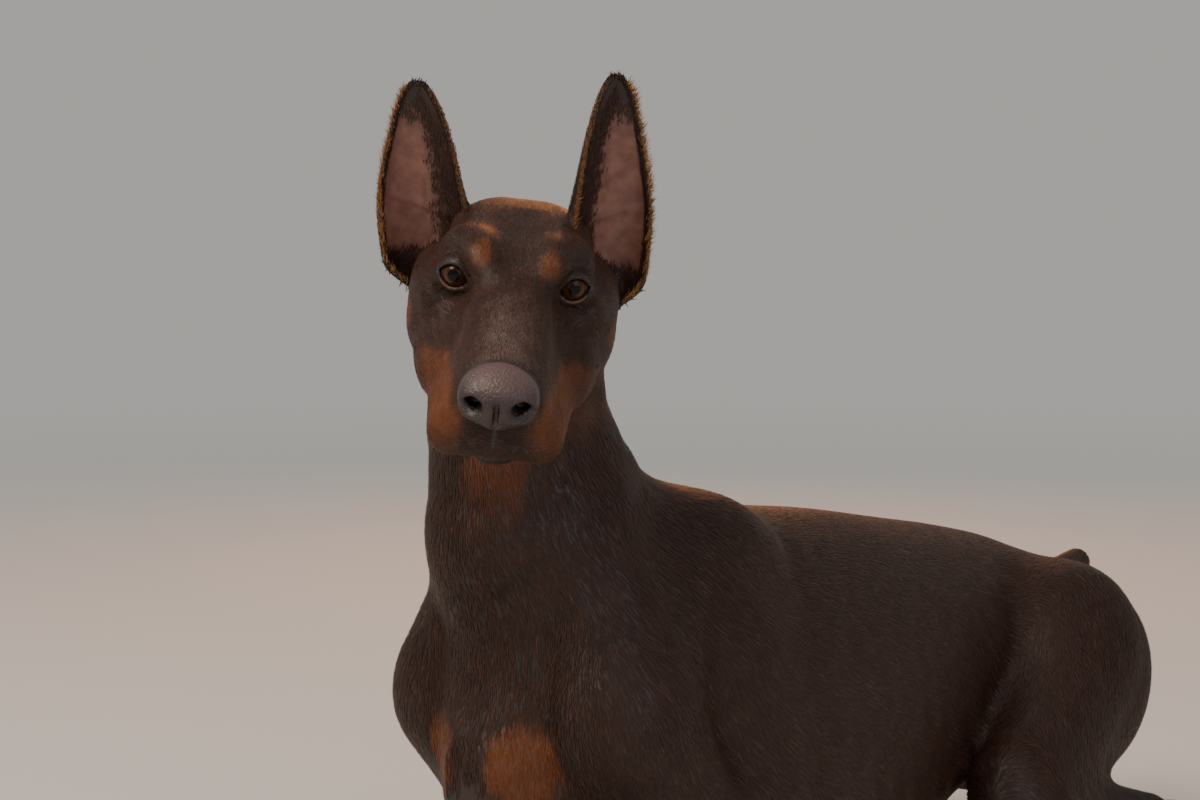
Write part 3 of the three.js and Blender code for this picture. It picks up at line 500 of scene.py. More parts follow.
def flesh(p):
    """The whole dog out to the tips of its coat, with no opening cut, in the row frame."""
    x, y, z = p[:, 0], p[:, 1], p[:, 2]
    out = body(x, y, z)
    for px, py, pz in (FORE_PAW, HIND_PAW):
        near = (x > px - 60) & (x < px + 110) & (z < 80)
        foot = paw(x[near] - px, np.abs(y[near]) - py, z[near] - pz)
        out[near] = smallest(out[near], foot, PAW_BLEND)
    near = np.abs(out) < 12
    out[near] += furrow_depth(p[near])
    h = into_head(p)
    near = (np.abs(h[:, 0]) < 170) & (np.abs(h[:, 1]) < 120) & (np.abs(h[:, 2] - 15) < 145)
    hx, hy, hz = h[near].T
    head = head_form(hx, hy, hz)
    value = smallest(out[near], head, HEAD_BLEND)
    # the blend with the neck keeps off the lids and the lips
    face = np.clip((hx + 60) / 30, 0, 1)
    value = value * (1 - face) + face * np.where(out[near] > HEAD_BLEND + 1, head, value)
    value = value - lid_relief(hx, np.abs(hy), hz)
    out[near] = smallest(value, ear(hx, hy, hz) - EAR_COAT, EAR_BLEND)
    return out


def skin_field(p):
    """The skin, with the mouth and the eyes opened in it and its feet flat on the floor."""
    out = flesh(p) + COAT_DEPTH
    h = into_head(p)
    near = (h[:, 0] > 5) & (h[:, 0] < 150) & (np.abs(h[:, 1]) < 70) & (h[:, 2] < -20) & (h[:, 2] > -90)
    hx, hz = h[near, 0], h[near, 2]
    mouth = np.maximum(np.abs(hz - lip_height(hx)) - LIP_SLIT, -(out[near] + LIP_DEPTH))
    out[near] = largest(out[near], -mouth, 1.5)
    near = (np.abs(h[:, 0] - EYE[0]) < 30) & (np.abs(h[:, 2] - EYE[2]) < 30)
    near &= np.abs(np.abs(h[:, 1]) - EYE[1]) < 30
    hx, hs, hz = h[near, 0], np.abs(h[near, 1]), h[near, 2]
    value = largest(out[near], -eye_opening(hx, hs, hz), 1.4)
    out[near] = np.maximum(value, -LID_RING(hx, hs, hz))
    return np.maximum(out, 0.4 - p[:, 2])


# Markings, bare skin and the lie of the coat

WAVES = rng.normal(size=(7, 3))
WAVES /= np.linalg.norm(WAVES, axis=1)[:, None]
WAVE_SHIFTS = rng.uniform(0, 2 * np.pi, 7)


def ragged(p, size):
    """A soft random swell of about -1 to 1 whose waves are size mm long."""
    stretch = 2 * np.pi / size * np.linspace(0.7, 1.5, len(WAVES))
    return np.sin(p @ (WAVES * stretch[:, None]).T + WAVE_SHIFTS).mean(axis=1) * 2


def head_share(h):
    return soft_step(-112, -86, h[:, 0]) * soft_step(-122, -100, h[:, 2])


def on_ear(h):
    """How far a point belongs to an ear."""
    near = 1 - soft_step(1.0, 4.5, ear(h[:, 0], h[:, 1], h[:, 2]))
    return near * soft_step(EAR_LINE[0][2] + 8, EAR_LINE[0][2] + 30, h[:, 2])


def markings(p):
    """Share of rust coat at each point: over the eyes, on the muzzle, cheeks, throat, chest, feet
    and under the tail."""
    x, y, z = p.T
    side = np.abs(y)
    hx, hy, hz = into_head(p).T
    hs = np.abs(hy)
    wave = ragged(p, 11)
    head = head_share(np.stack([hx, hy, hz], -1))
    over_eye = hz - BROW_SPOT[2] + 2.5 * (hy > 0)
    spots = 1 - soft_step(0.6, 1.25, np.hypot((hs - BROW_SPOT[1]) / 6.2, over_eye / 6.6) + 0.2 * wave)
    spots *= soft_step(-30, -20, hx)
    over = along(MUZZLE_RUST, hx)[0] - hz + 2.5 * wave
    muzzle_side = soft_step(-2, 9, over)
    muzzle_side *= soft_step(12, 24, hs + 1.5 * wave + 0.2 * np.minimum(hz + 30, 0))
    muzzle_side *= 0.3 + 0.7 * soft_step(4, 24, hz - lip_height(hx) + 2 * wave)
    off_cheek = np.hypot(hx - CHEEK_SPOT[0], hz - CHEEK_SPOT[2]) / 9
    cheek = (1 - soft_step(0.6, 1.25, off_cheek + 0.2 * wave)) * soft_step(35, 45, hs)
    out = head * np.maximum(np.maximum(spots, muzzle_side), cheek)
    throat = soft_step(-168, -122, hz + 5 * wave) * (1 - soft_step(-96, -82, hz)) * soft_step(-50, -24, hx)
    # the throat's rust is real, but it is held below full strength as a painted shadow under the jaw
    throat *= 0.85 - 0.85 * soft_step(13, 25, hs + 2 * wave)
    chest = 1 - soft_step(0.75, 1.15, np.hypot((side - 36) / 23, (z - 206) / 27) + 0.1 * wave)
    chest *= soft_step(95, 115, x)
    arm = soft_step(36, 74, x - 44 * soft_step(94, 118, side) + 5 * wave) * (z < 80) * (side > 45)
    hock = soft_step(-520, -478, x - 34 * soft_step(140, 160, side) + 5 * wave)
    hock *= (1 - soft_step(44, 54, z)) * (side > 90) * (x < -300)
    vent = (1 - soft_step(0.7, 1.2, np.hypot(y / 22, (z - 188) / 24) + 0.12 * wave)) * (x < -540)
    for part in (throat, chest, arm, hock, vent):
        out = np.maximum(out, part)
    return out


def bare_skin(p, normals, fold):
    """Shares of pinkish ear and lid skin and of dark leathery skin at each point. fold is how far
    the point lies inside the closed form of the head."""
    h = into_head(p)
    hx, hy, hz = h.T
    share, across, back, half, depth, _, outer, _ = ear_place(hx, hy, hz)
    inside = np.hypot(across / half, back / depth) < 1
    angle = np.degrees(np.arctan2(across / half, back / depth))
    wave = ragged(p, 8)
    pink = inside * on_ear(h) * soft_step(-38, 10, angle + 9 * wave) * (1 - soft_step(-13, -5, angle - outer))
    pink *= soft_step(0.1, 0.22, share) * (1 - soft_step(0.72, 0.93, share + 0.03 * wave))
    to_eye = np.sqrt((hx - EYE[0]) ** 2 + (np.abs(hy) - EYE[1]) ** 2 + (hz - EYE[2]) ** 2)
    rim = (to_eye < EYE_RADIUS + 3.2) * (1 - soft_step(0.9, 2.6, eye_opening(hx, np.abs(hy), hz)))
    lower = soft_step(1.5, 4, EYE[2] - hz)
    pink = np.maximum(pink, 0.45 * rim * lower)
    nose_edge = 1 - soft_step(0.4, 1.4, nose_field(h))
    lips = (hx > 10) * (hx < 140) * (np.abs(hy) < 60) * head_share(h)
    lips = lips * (1 - soft_step(1.6, 3.2, np.abs(hz - lip_height(hx))))
    lips = np.maximum(lips, (fold > 1.6) * (hz < -20) * (hx > 5))
    x, side = p[:, 0], np.abs(p[:, 1])
    under = (p[:, 2] < 7) * (normals[:, 2] < -0.35)
    fore_pads = under * (side > 50) * soft_step(225, 250, x)
    hind_pads = under * (x > -398) * (x < -300) * (side > 95.0)
    dark = np.maximum.reduce([rim * (1 - lower), nose_edge, lips, fore_pads, hind_pads.astype(float)])
    return np.clip(pink, 0, 1), np.clip(dark, 0, 1)


def lie_of_coat(p, normals):
    """The way the hair lies at each point, as a unit vector along the skin."""
    x, y, z = p.T
    s = np.abs(y)
    flow = np.stack([-np.ones_like(x), 0 * x, -0.12 - 0.4 * np.abs(normals[:, 1])], -1)
    # share of each region, then the way of its hair on the left side: neck, chest, upper arm,
    # foreleg, thigh, hind foot and tail
    for share, way in (
        (soft_step(290, 370, z) * soft_step(-90, 10, x), (-0.33, 0, -0.95)),
        (soft_step(80, 135, x) * (1 - soft_step(290, 340, z)), (-0.05, 0, -1)),
        (0.75 * soft_step(62, 84, s) * soft_step(-70, 10, x) * soft_step(60, 90, z), (-0.5, 0, -0.85)),
        (soft_step(55, 75, s) * soft_step(-20, 30, x) * (1 - soft_step(60, 85, z)), (1, 0, -0.05)),
        (soft_step(76, 100, s) * (1 - soft_step(-330, -270, x)), (0.15, 0.1, -1)),
        (soft_step(90, 105, s) * (1 - soft_step(-320, -290, x)) * (1 - soft_step(50, 62, z)), (1, 0, -0.05)),
        ((1 - soft_step(-560, -535, x)) * soft_step(190, 205, z), (-1, 0, 0.25)),
    ):
        weight = share[:, None]
        there = np.array(way) * np.stack([0 * x + 1, np.sign(y), 0 * x + 1], -1)
        flow = flow * (1 - weight) + there * weight
    h = into_head(p)
    hx, hy, hz = h.T
    inward = normals @ HEAD_TURN
    face = np.stack([-np.ones_like(hx), 0.1 * np.sign(hy), 0.3 * inward[:, 2]], -1)
    cheek = soft_step(30, 45, np.abs(hy)) * (1 - soft_step(-10, 25, hx))
    face[:, 2] -= 0.7 * cheek + 0.25 * np.abs(inward[:, 1])
    blade = on_ear(h)[:, None]
    face = face * (1 - blade) + np.array([-0.1, 0, 1]) * blade
    weight = np.maximum(head_share(h), blade[:, 0])[:, None]
    flow = flow * (1 - weight) + (face @ HEAD_TURN.T) * weight
    flow -= normals * (flow * normals).sum(1)[:, None]
    return flow / np.maximum(np.linalg.norm(flow, axis=1), 1e-6)[:, None]


# Surface from a field


def lines(*stops):
    """Grid lines from stop to stop, at the step that follows each."""
    out = []
    for (low, step), (high, _) in zip(stops, stops[1:]):
        count = max(4, int(round((high - low) / step / 4)) * 4)
        out.extend(np.linspace(low, high, count, endpoint=False))
    return np.array(out + [stops[-1][0]])


BLOCK = 4  # cells along each side of a block
MOST_AT_ONCE = 400000
FAR = 50.0  # stands for the field in blocks that the surface doesn't reach
CORNERS = [(a & 1, a >> 1 & 1, a >> 2 & 1) for a in range(8)]  # of a cell


def window(values, start, shape):
    """The part of a 3-D array that starts there and has that shape."""
    return values[tuple(slice(s, s + n) for s, n in zip(start, shape))]


def net(field, *axes):
    """Vertices and quads of the surface where the field is zero. Only blocks near it are worked out."""
    shape = [len(a) for a in axes]
    coarse = [a[::BLOCK] for a in axes]
    grid = np.stack(np.meshgrid(*coarse, indexing="ij"), -1)
    rough = field(grid.reshape(-1, 3)).reshape(grid.shape[:3])
    spans = np.meshgrid(*(np.diff(a) for a in coarse), indexing="ij", sparse=True)
    reach = 1.1 * np.sqrt(spans[0] ** 2 + spans[1] ** 2 + spans[2] ** 2)
    close = np.min([np.abs(window(rough, at, reach.shape)) for at in CORNERS], axis=0) < reach
    values = np.where(rough < 0, -FAR, FAR).astype(np.float32)
    for axis in range(3):
        values, close = np.repeat(values, BLOCK, axis=axis), np.repeat(close, BLOCK, axis=axis)
    values = window(values, (0, 0, 0), shape).copy()
    want = np.zeros(shape, bool)
    for at in CORNERS:
        window(want, at, close.shape)[...] |= close
    where = np.nonzero(want.ravel())[0]
    index = np.unravel_index(where, shape)
    flat = values.ravel()
    for s in range(0, len(where), MOST_AT_ONCE):
        e = slice(s, s + MOST_AT_ONCE)
        flat[where[e]] = field(np.stack([a[i[e]] for a, i in zip(axes, index)], -1))
    values = flat.reshape(shape)
    inside = values < 0
    cells = [n - 1 for n in shape]
    total = sum(window(inside, at, cells).astype(np.int8) for at in CORNERS)
    crossed = np.nonzero((total > 0) & (total < 8))
    sums, hits = np.zeros((len(crossed[0]), 3)), np.zeros(len(crossed[0]))
    at_corner = [values[tuple(i + step for i, step in zip(crossed, at))] for at in CORNERS]
    for a, axis in ((a, axis) for a in range(8) for axis in range(3) if not a >> axis & 1):
        b = a | 1 << axis
        cut = (at_corner[a] < 0) != (at_corner[b] < 0)
        t = np.where(cut, at_corner[a] / np.where(cut, at_corner[a] - at_corner[b], 1), 0)
        edge = np.subtract(CORNERS[b], CORNERS[a])
        sums += np.where(cut[:, None], np.array(CORNERS[a]) + t[:, None] * edge, 0)
        hits += cut
    low = np.stack([a[i] for a, i in zip(axes, crossed)], -1)
    size = np.stack([a[i + 1] for a, i in zip(axes, crossed)], -1) - low
    verts = low + sums / hits[:, None] * size
    cell = size.min(1)
    key = (crossed[0].astype(np.int64) * cells[1] + crossed[1]) * cells[2] + crossed[2]
    quads = []
    for axis in range(3):
        here, there = ([slice(1, n - 1) for n in shape] for _ in range(2))
        here[axis], there[axis] = slice(0, shape[axis] - 1), slice(1, shape[axis])
        here, there = inside[tuple(here)], inside[tuple(there)]
        found = np.stack(np.nonzero(here != there), -1)
        flip = there[tuple(found.T)]
        found += 1
        found[:, axis] -= 1
        ring = []
        for back in ((1, 1), (0, 1), (0, 0), (1, 0)):
            at = found.copy()
            at[:, (axis + 1) % 3] -= back[0]
            at[:, (axis + 2) % 3] -= back[1]
            at = at.astype(np.int64)
            ring.append(np.searchsorted(key, (at[:, 0] * cells[1] + at[:, 1]) * cells[2] + at[:, 2]))
        quad = np.stack(ring, -1)
        quad[flip] = quad[flip][:, ::-1]
        quads.append(quad)
    for _ in range(3):
        step = 0.15 * cell
        value = field(verts)
        slope = np.empty_like(verts)
        for axis in range(3):
            moved = verts.copy()
            moved[:, axis] += step
            slope[:, axis] = (field(moved) - value) / step
        steep = np.maximum((slope**2).sum(1), 0.2)
        verts = verts - np.clip(value / steep, -0.35 * cell, 0.35 * cell)[:, None] * slope
    return verts, np.concatenate(quads)


def mesh_object(name, verts, faces, smooth=True):
    """verts in millimetres; faces all of one size."""
    mesh = bpy.data.meshes.new(name)
    faces = np.asarray(faces, np.int32)
    mesh.vertices.add(len(verts))
    mesh.vertices.foreach_set("co", (np.asarray(verts) * MM).astype(np.float32).ravel())
    sides = faces.shape[1]
    mesh.loops.add(faces.size)
    mesh.loops.foreach_set("vertex_index", faces.ravel())
    mesh.polygons.add(len(faces))
    mesh.polygons.foreach_set("loop_start", np.arange(0, faces.size, sides, dtype=np.int32))
    mesh.polygons.foreach_set("use_smooth", np.full(len(faces), smooth))
    mesh.update(calc_edges=True)
    obj = bpy.data.objects.new(name, mesh)
    bpy.context.scene.collection.objects.link(obj)
    return obj


def ring_quads(rings, sides):
    """Quads between rings of points that follow each other."""
    i, j = (a.ravel() for a in np.meshgrid(np.arange(rings - 1), np.arange(sides), indexing="ij"))
    a, b = i * sides + j, i * sides + (j + 1) % sides
    return np.stack([a, b, b + sides, a + sides], -1)


def attribute(mesh, name, values):
    values = np.asarray(values, np.float32)
    kind, key = ("FLOAT", "value") if values.ndim == 1 else ("FLOAT_VECTOR", "vector")
    mesh.attributes.new(name, kind, "POINT").data.foreach_set(key, values.ravel())


def mesh_normals(mesh):
    out = np.empty(len(mesh.vertices) * 3, np.float32)
    mesh.vertex_normals.foreach_get("vector", out)
    return out.reshape(-1, 3).astype(float)


# Skin: coarse on the body, fine on the head, finest round the eyes

COARSE, FINE, FINEST = ((3.5, 1.5, 1.0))
GRID_X = lines((-700, COARSE), (46, FINE), (146, FINEST), (232, FINE), (302, COARSE), (356, 0))
GRID_Y = lines((-245, COARSE), (-88, FINE), (14, FINEST), (106, FINE), (172, COARSE), (245, 0))
GRID_Z = lines((-14, COARSE), (416, FINE), (500, FINEST), (546, FINE), (696, 0))
skin_points, skin_quads = net(skin_field, GRID_X, GRID_Y, GRID_Z)
skin = mesh_object("skin", skin_points, skin_quads)
skin_normals = mesh_normals(skin.data)
fold = -(flesh(skin_points) + COAT_DEPTH)
rust = markings(skin_points)
pink, dark = bare_skin(skin_points, skin_normals, fold)
attribute(skin.data, "rust", rust)
attribute(skin.data, "pink_skin", pink)
attribute(skin.data, "dark_skin", dark)
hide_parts(*[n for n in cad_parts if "claw" not in n and not n.startswith("eye") and n != "nose"])
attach(skin, "root")

# Coat: flat tufts that follow the lie, smallest on the face and the feet

LAYERS = 2.0  # how many tufts deep the coat lies
MOST_IN_PIECE = 64000
ROOT_DEPTH, MIDDLE_HEIGHT, TIP_HEIGHT = -0.35, 0.5, 0.8
MIDDLE_WIDTH = 0.9  # of a tuft, as a share of its width at the root
TUFT_PATCH = 0.003  # side of a tuft's patch in the map for baking
BODY_TUFT, LEG_TUFT, PAW_TUFT = (9.5, 0.85), (6.8, 0.7), (4.4, 0.55)  # length, width
HEAD_TUFT, MUZZLE_TUFT, EAR_TUFT = (5.4, 0.62), (3.2, 0.42), (4.6, 0.55)


def tuft_sizes(p):
    """Length and width of the tufts at each point."""
    x, y, z = p.T
    side = np.abs(y)
    h = into_head(p)
    sizes = np.tile(np.array(BODY_TUFT), (len(p), 1))
    legs = np.maximum(soft_step(0, 50, x) * (side > 50), (side > 95) * (x < -300))
    legs = legs * (1 - soft_step(55, 80, z))
    paws = np.maximum(soft_step(225, 265, x), soft_step(-412, -390, x) * (x < -300) * (side > 90))
    paws = paws * (1 - soft_step(48, 60, z))
    face = soft_step(-5, 30, h[:, 0])
    for share, size in (
        (legs, LEG_TUFT),
        (paws, PAW_TUFT),
        (head_share(h), HEAD_TUFT),
        (head_share(h) * face, MUZZLE_TUFT),
        (on_ear(h), EAR_TUFT),
    ):
        sizes = sizes * (1 - share[:, None]) + np.array(size) * share[:, None]
    return sizes


def hugging(points, normals, height):
    """The points moved along the normals until they lie that high over the skin."""
    for _ in range(2):
        step = np.clip(skin_field(points) - height, -1.5, 1.5)
        points = points - normals * step[:, None]
    points[:, 2] = np.maximum(points[:, 2], 0.3)
    return points


quad_points = skin_points[skin_quads]
diagonals = quad_points[:, 2] - quad_points[:, 0], quad_points[:, 3] - quad_points[:, 1]
quad_areas = np.linalg.norm(np.cross(*diagonals), axis=1) / 2
quad_middles = quad_points.mean(axis=1)
covered = 1 - soft_step(0.25, 0.85, np.maximum(pink, dark)[skin_quads].mean(axis=1))
covered *= quad_middles[:, 2] > 0.8
room = tuft_sizes(quad_middles).prod(axis=1)
expected = covered * quad_areas * LAYERS / room
counts = np.floor(expected + rng.random(len(expected))).astype(int)
picked = np.repeat(np.arange(len(skin_quads)), counts)
u, v = rng.random((2, len(picked)))
shares = np.stack([(1 - u) * (1 - v), u * (1 - v), u * v, (1 - u) * v], -1)[:, :, None]
tuft_roots = (quad_points[picked] * shares).sum(axis=1)
tuft_normals = (skin_normals[skin_quads][picked] * shares).sum(axis=1)
tuft_normals /= np.linalg.norm(tuft_normals, axis=1)[:, None]
tuft_rust = (rust[skin_quads][picked] * shares[:, :, 0]).sum(axis=1)


def tufts(roots, normals, way, width, middles, tips):
    """Five points and three triangles for each tuft: a flat blade that narrows to its tip."""
    across = np.cross(normals, way)
    half = across * width[:, None] / 2
    low = roots + normals * ROOT_DEPTH
    inner = MIDDLE_WIDTH * half
    return np.stack([low - half, low + half, middles - inner, middles + inner, tips], 1)


BLADE_FACES = np.array([[0, 3, 1], [0, 2, 3], [2, 4, 3]])
BLADE_PATCH = np.array([[0, 0], [1, 0], [0.1, 0.5], [0.9, 0.5], [0.5, 1]]) * TUFT_PATCH


def coat_piece(name, blades, normals, rusts, tones_and_sheen, places):
    """One mesh of tufts, with its markings, its own tone to each tuft with any painted sheen or backlight,
    and its map for baking.
    """
    count = len(blades)
    faces = (np.arange(count)[:, None, None] * 5 + BLADE_FACES).reshape(-1, 3)
    piece = mesh_object(name, blades.reshape(-1, 3), faces)
    attribute(piece.data, "rust", np.repeat(rusts, 5))
    attribute(piece.data, "tone_and_sheen", np.repeat(tones_and_sheen, 5))
    attribute(piece.data, "tip", np.tile([0, 0, 0.5, 0.5, 1], count))
    corners = (places[:, None, :] + BLADE_PATCH).reshape(-1, 2)
    layer = piece.data.uv_layers.new(name="OFBake")
    layer.data.foreach_set("uv", corners[faces.ravel()].astype(np.float32).ravel())
    piece.data.normals_split_custom_set_from_vertices(np.repeat(normals, 5, axis=0))
    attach(piece, "root")
    return piece


# name, whether it is placed in the head's frame, a point on its axis, the axis, and the way that is up
COAT_REGIONS = [
    ("coat_ears", True, (-75, 64, 0), (0, 0, 1), (1, 0, 0)),
    ("coat_muzzle", True, (0, 0, -34), (1, 0, 0), (0, 0, 1)),
    ("coat_head", True, (0, 0, -16), (1, 0, 0), (0, 0, 1)),
    ("coat_neck", False, (35, 0, 262), (0.31, 0, 0.95), (0.95, 0, -0.31)),
    ("coat_forelegs", False, (0, 97, 28), (1, 0, 0), (0, 0, 1)),
    ("coat_hind_feet", False, (0, 141, 24), (1, 0, 0), (0, 0, 1)),
    ("coat_trunk", False, (0, 0, 165), (1, 0, 0), (0, 0, 1)),
]
PAIRED = ("coat_ears", "coat_forelegs", "coat_hind_feet")


def region_of(p):
    """The number of the coat region that each point belongs to."""
    x, y, z = p.T
    side = np.abs(y)
    h = into_head(p)
    head = head_share(h) > 0.5
    return np.select(
        [
            on_ear(h) > 0.5,
            head & (h[:, 0] > 22),
            head,
            (z > 300) & (x > -40),
            (x > -60) & (z < 72) & (side > 50),
            (x < -285) & (z < 56) & (side > 98),
        ],
        list(range(6)),
        6,
    )


def unwrapped(p, region):
    """Places on the map for baking, by the turn round the region's axis and the way along it."""
    name, in_head, point, axis, up = COAT_REGIONS[region]
    q = into_head(p) if in_head else p.copy()
    right = q[:, 1] < 0
    if name in PAIRED:
        q[:, 1] = np.abs(q[:, 1])
    axis, up = np.array(axis, float), np.array(up, float)
    away = q - np.array(point)
    forth = away @ axis
    turn = np.arctan2(away @ up, away @ np.cross(axis, up)) / (2 * np.pi) + 0.5
    if name in PAIRED:
        turn = (turn + right) / 2
    forth = (forth - forth.min()) / max(np.ptp(forth), 1)
    return 0.005 + 0.985 * np.stack([turn, forth], -1)


tuft_way = lie_of_coat(tuft_roots, tuft_normals)
astray = rng.normal(0, 0.1, len(tuft_roots))[:, None]
tuft_way = tuft_way + np.cross(tuft_normals, tuft_way) * astray
tuft_way /= np.linalg.norm(tuft_way, axis=1)[:, None]
tuft_length, tuft_width = tuft_sizes(tuft_roots).T * rng.uniform(0.75, 1.2, (2, len(tuft_roots)))
reach = tuft_way * tuft_length[:, None]
tuft_lift = rng.uniform(0.6, 1.25, len(tuft_roots))
blade_middles = hugging(tuft_roots + 0.5 * reach, tuft_normals, MIDDLE_HEIGHT)
blade_tips = hugging(tuft_roots + reach, tuft_normals, TIP_HEIGHT * tuft_lift)
blades = tufts(tuft_roots, tuft_normals, tuft_way, tuft_width, blade_middles, blade_tips)
sway = rng.normal(0, 0.13, (len(tuft_roots), 2))
shading = tuft_normals + np.cross(tuft_normals, tuft_way) * sway[:, :1] + tuft_way * (0.1 + 0.5 * sway[:, 1:])
shading /= np.linalg.norm(shading, axis=1)[:, None]
tone_and_sheen = rng.normal(0.5, 0.14, len(tuft_roots)) + 0.14 * ragged(tuft_roots, 26)
tuft_places = into_head(tuft_roots)
# The coat is darker round the eyes and uneven on the head, and along the bridge of the nose it is made paler,
# a painted sheen where the sky lights it.
nearer_eye = np.array(EYE) * np.stack([0 * tuft_lift + 1, np.sign(tuft_places[:, 1]), 0 * tuft_lift + 1], -1)
tone_and_sheen -= 0.4 * (1 - soft_step(13, 24, np.linalg.norm(tuft_places - nearer_eye, axis=1)))
tone_and_sheen += 0.16 * ragged(tuft_roots, 6) * head_share(tuft_places)
# painted sheen: the tufts along the bridge of the nose get higher tones, which turn pale in the coat's colour
bridge = soft_step(15, 85, tuft_places[:, 0]) * (1 - soft_step(4, 27, np.abs(tuft_places[:, 1])))
tone_and_sheen += 0.75 * bridge * soft_step(-22, -4, tuft_places[:, 2]) * head_share(tuft_places)
tone_and_sheen = np.clip(tone_and_sheen, 0, 1.8)
region = region_of(tuft_roots)
coat = []
for number, (name, *_) in enumerate(COAT_REGIONS):
    members = np.nonzero(region == number)[0]
    places = unwrapped(tuft_roots[members], number)
    order = np.argsort(places[:, 0], kind="stable")
    parts = math.ceil(len(members) / MOST_IN_PIECE)
    for part, chosen in enumerate(np.array_split(order, parts)):
        own = members[chosen]
        look = shading[own], tuft_rust[own], tone_and_sheen[own], places[chosen]
        coat.append(coat_piece(f"{name}_{part + 1}", blades[own], *look))

# Fringe: longer pale hairs along both edges of each ear

FRINGE_PER_MM = 9
FRINGE_LENGTH, FRINGE_WIDTH = 7.0, 0.4


def ear_edge(side, outer_edge, share):
    """Points on an ear's edge, and the way out from the cup there, in the head's frame."""
    middle_x, middle_y, middle_z, outer_half, inner_half, depth, inner, outer = ear_cup(share)
    half = outer_half if outer_edge else inner_half
    angle = np.radians(outer if outer_edge else -inner)
    turn_way = 1 if outer_edge else -1
    across, back = half * np.sin(angle), depth * (np.cos(angle) - 0.5)
    away, behind = half * np.cos(angle) * turn_way, -depth * np.sin(angle) * turn_way
    c, s = math.cos(math.radians(EAR_OPENS[side])), math.sin(math.radians(EAR_OPENS[side]))
    x, y = middle_x - across * s - back * c, middle_y + across * c - back * s
    base = EAR_LINE[0][2]
    y = y - side * EAR_LEAN * share
    z = base + (middle_z - base) * EAR_REACH[side]
    out = np.stack([-away * s - behind * c, (away * c - behind * s) * side, 0 * x], -1)
    out /= np.maximum(np.linalg.norm(out, axis=1), 1e-6)[:, None]
    return np.stack([x, y * side, z], -1), out


fringe = []
for side in (1, -1):
    for outer_edge in (False, True):
        reach_up = (EAR_LINE[-1][2] - EAR_LINE[0][2]) * EAR_REACH[side]
        share = rng.uniform(0.04, 0.97, int(reach_up * FRINGE_PER_MM))
        edge, out = ear_edge(side, outer_edge, share)
        count = len(share)
        jitter = rng.normal(0, 0.22, (count, 3)) + np.array([0, 0, 0.75])
        way = out * rng.uniform(0.5, 1.1, count)[:, None] + jitter
        way /= np.linalg.norm(way, axis=1)[:, None]
        facing = np.cross(way, rng.normal(size=(count, 3)) * 0.35 + np.array([0, 1.0, 0]))
        facing /= np.linalg.norm(facing, axis=1)[:, None]
        length = FRINGE_LENGTH * rng.uniform(0.4, 1.15, count) * (1.0 if outer_edge else 0.5)
        width = FRINGE_WIDTH * rng.uniform(0.7, 1.2, count)
        root = edge + rng.normal(0, 0.7, (count, 3)) - 0.8 * out
        tip = root + way * length[:, None] + np.array([0, 0, 0.12]) * length[:, None]
        middle = root + way * (0.5 * length)[:, None]
        blade = tufts(root, facing, way, width, middle, tip)
        on_map = 0.1 + 0.2 * (side < 0) + 0.4 * outer_edge + 0.1 * rng.random(count)
        # painted backlight: a random glow to each hair, fainter on the inner edges, which the sun lights less
        backlit_glow = rng.random(count) * (1.0 if outer_edge else 0.45)
        fringe.append((blade, facing, backlit_glow, np.stack([on_map, 0.05 + 0.9 * share], -1)))
blade, facing, backlit_glow, places = (np.concatenate(column) for column in zip(*fringe))
blade = out_of_head(blade.reshape(-1, 3)).reshape(-1, 5, 3)
fringe_piece = coat_piece("ear_fringe", blade, facing @ HEAD_TURN.T, backlit_glow * 0, backlit_glow, places)

# Nose leather

nose_points, nose_quads = net(
    nose_field, lines((98, 0.9), (152, 0)), lines((-30, 0.9), (30, 0)), lines((-48, 0.9), (6, 0))
)
nose = mesh_object("nose_leather", out_of_head(nose_points), nose_quads)
nx, ns, nz = nose_points[:, 0], np.abs(nose_points[:, 1]), nose_points[:, 2]
nostril = np.minimum(NOSE_CARVED[0][0](nx, ns, nz), NOSE_CARVED[1][0](nx, ns, nz) + 0.8)
# the paler top of the nose: drier skin, and a painted highlight from the light above
attribute(nose.data, "dry_and_lit_top", soft_step(-20, -4, nose_points[:, 2]))
# painted shadow inside the nostrils
attribute(nose.data, "nostril", 1 - soft_step(0.2, 1.8, nostril))
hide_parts("nose")
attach(nose, "root")

# Eyes: one ball each, with the iris and pupil painted by their distance from the gaze

GAZE_TO_SIDE, GAZE_UP = 12, 9
IRIS_RADIUS, PUPIL_RADIUS = 8.0, 3.7
CORNEA_RISE = 0.7
EYE_RINGS, EYE_SIDES = (40, 48)


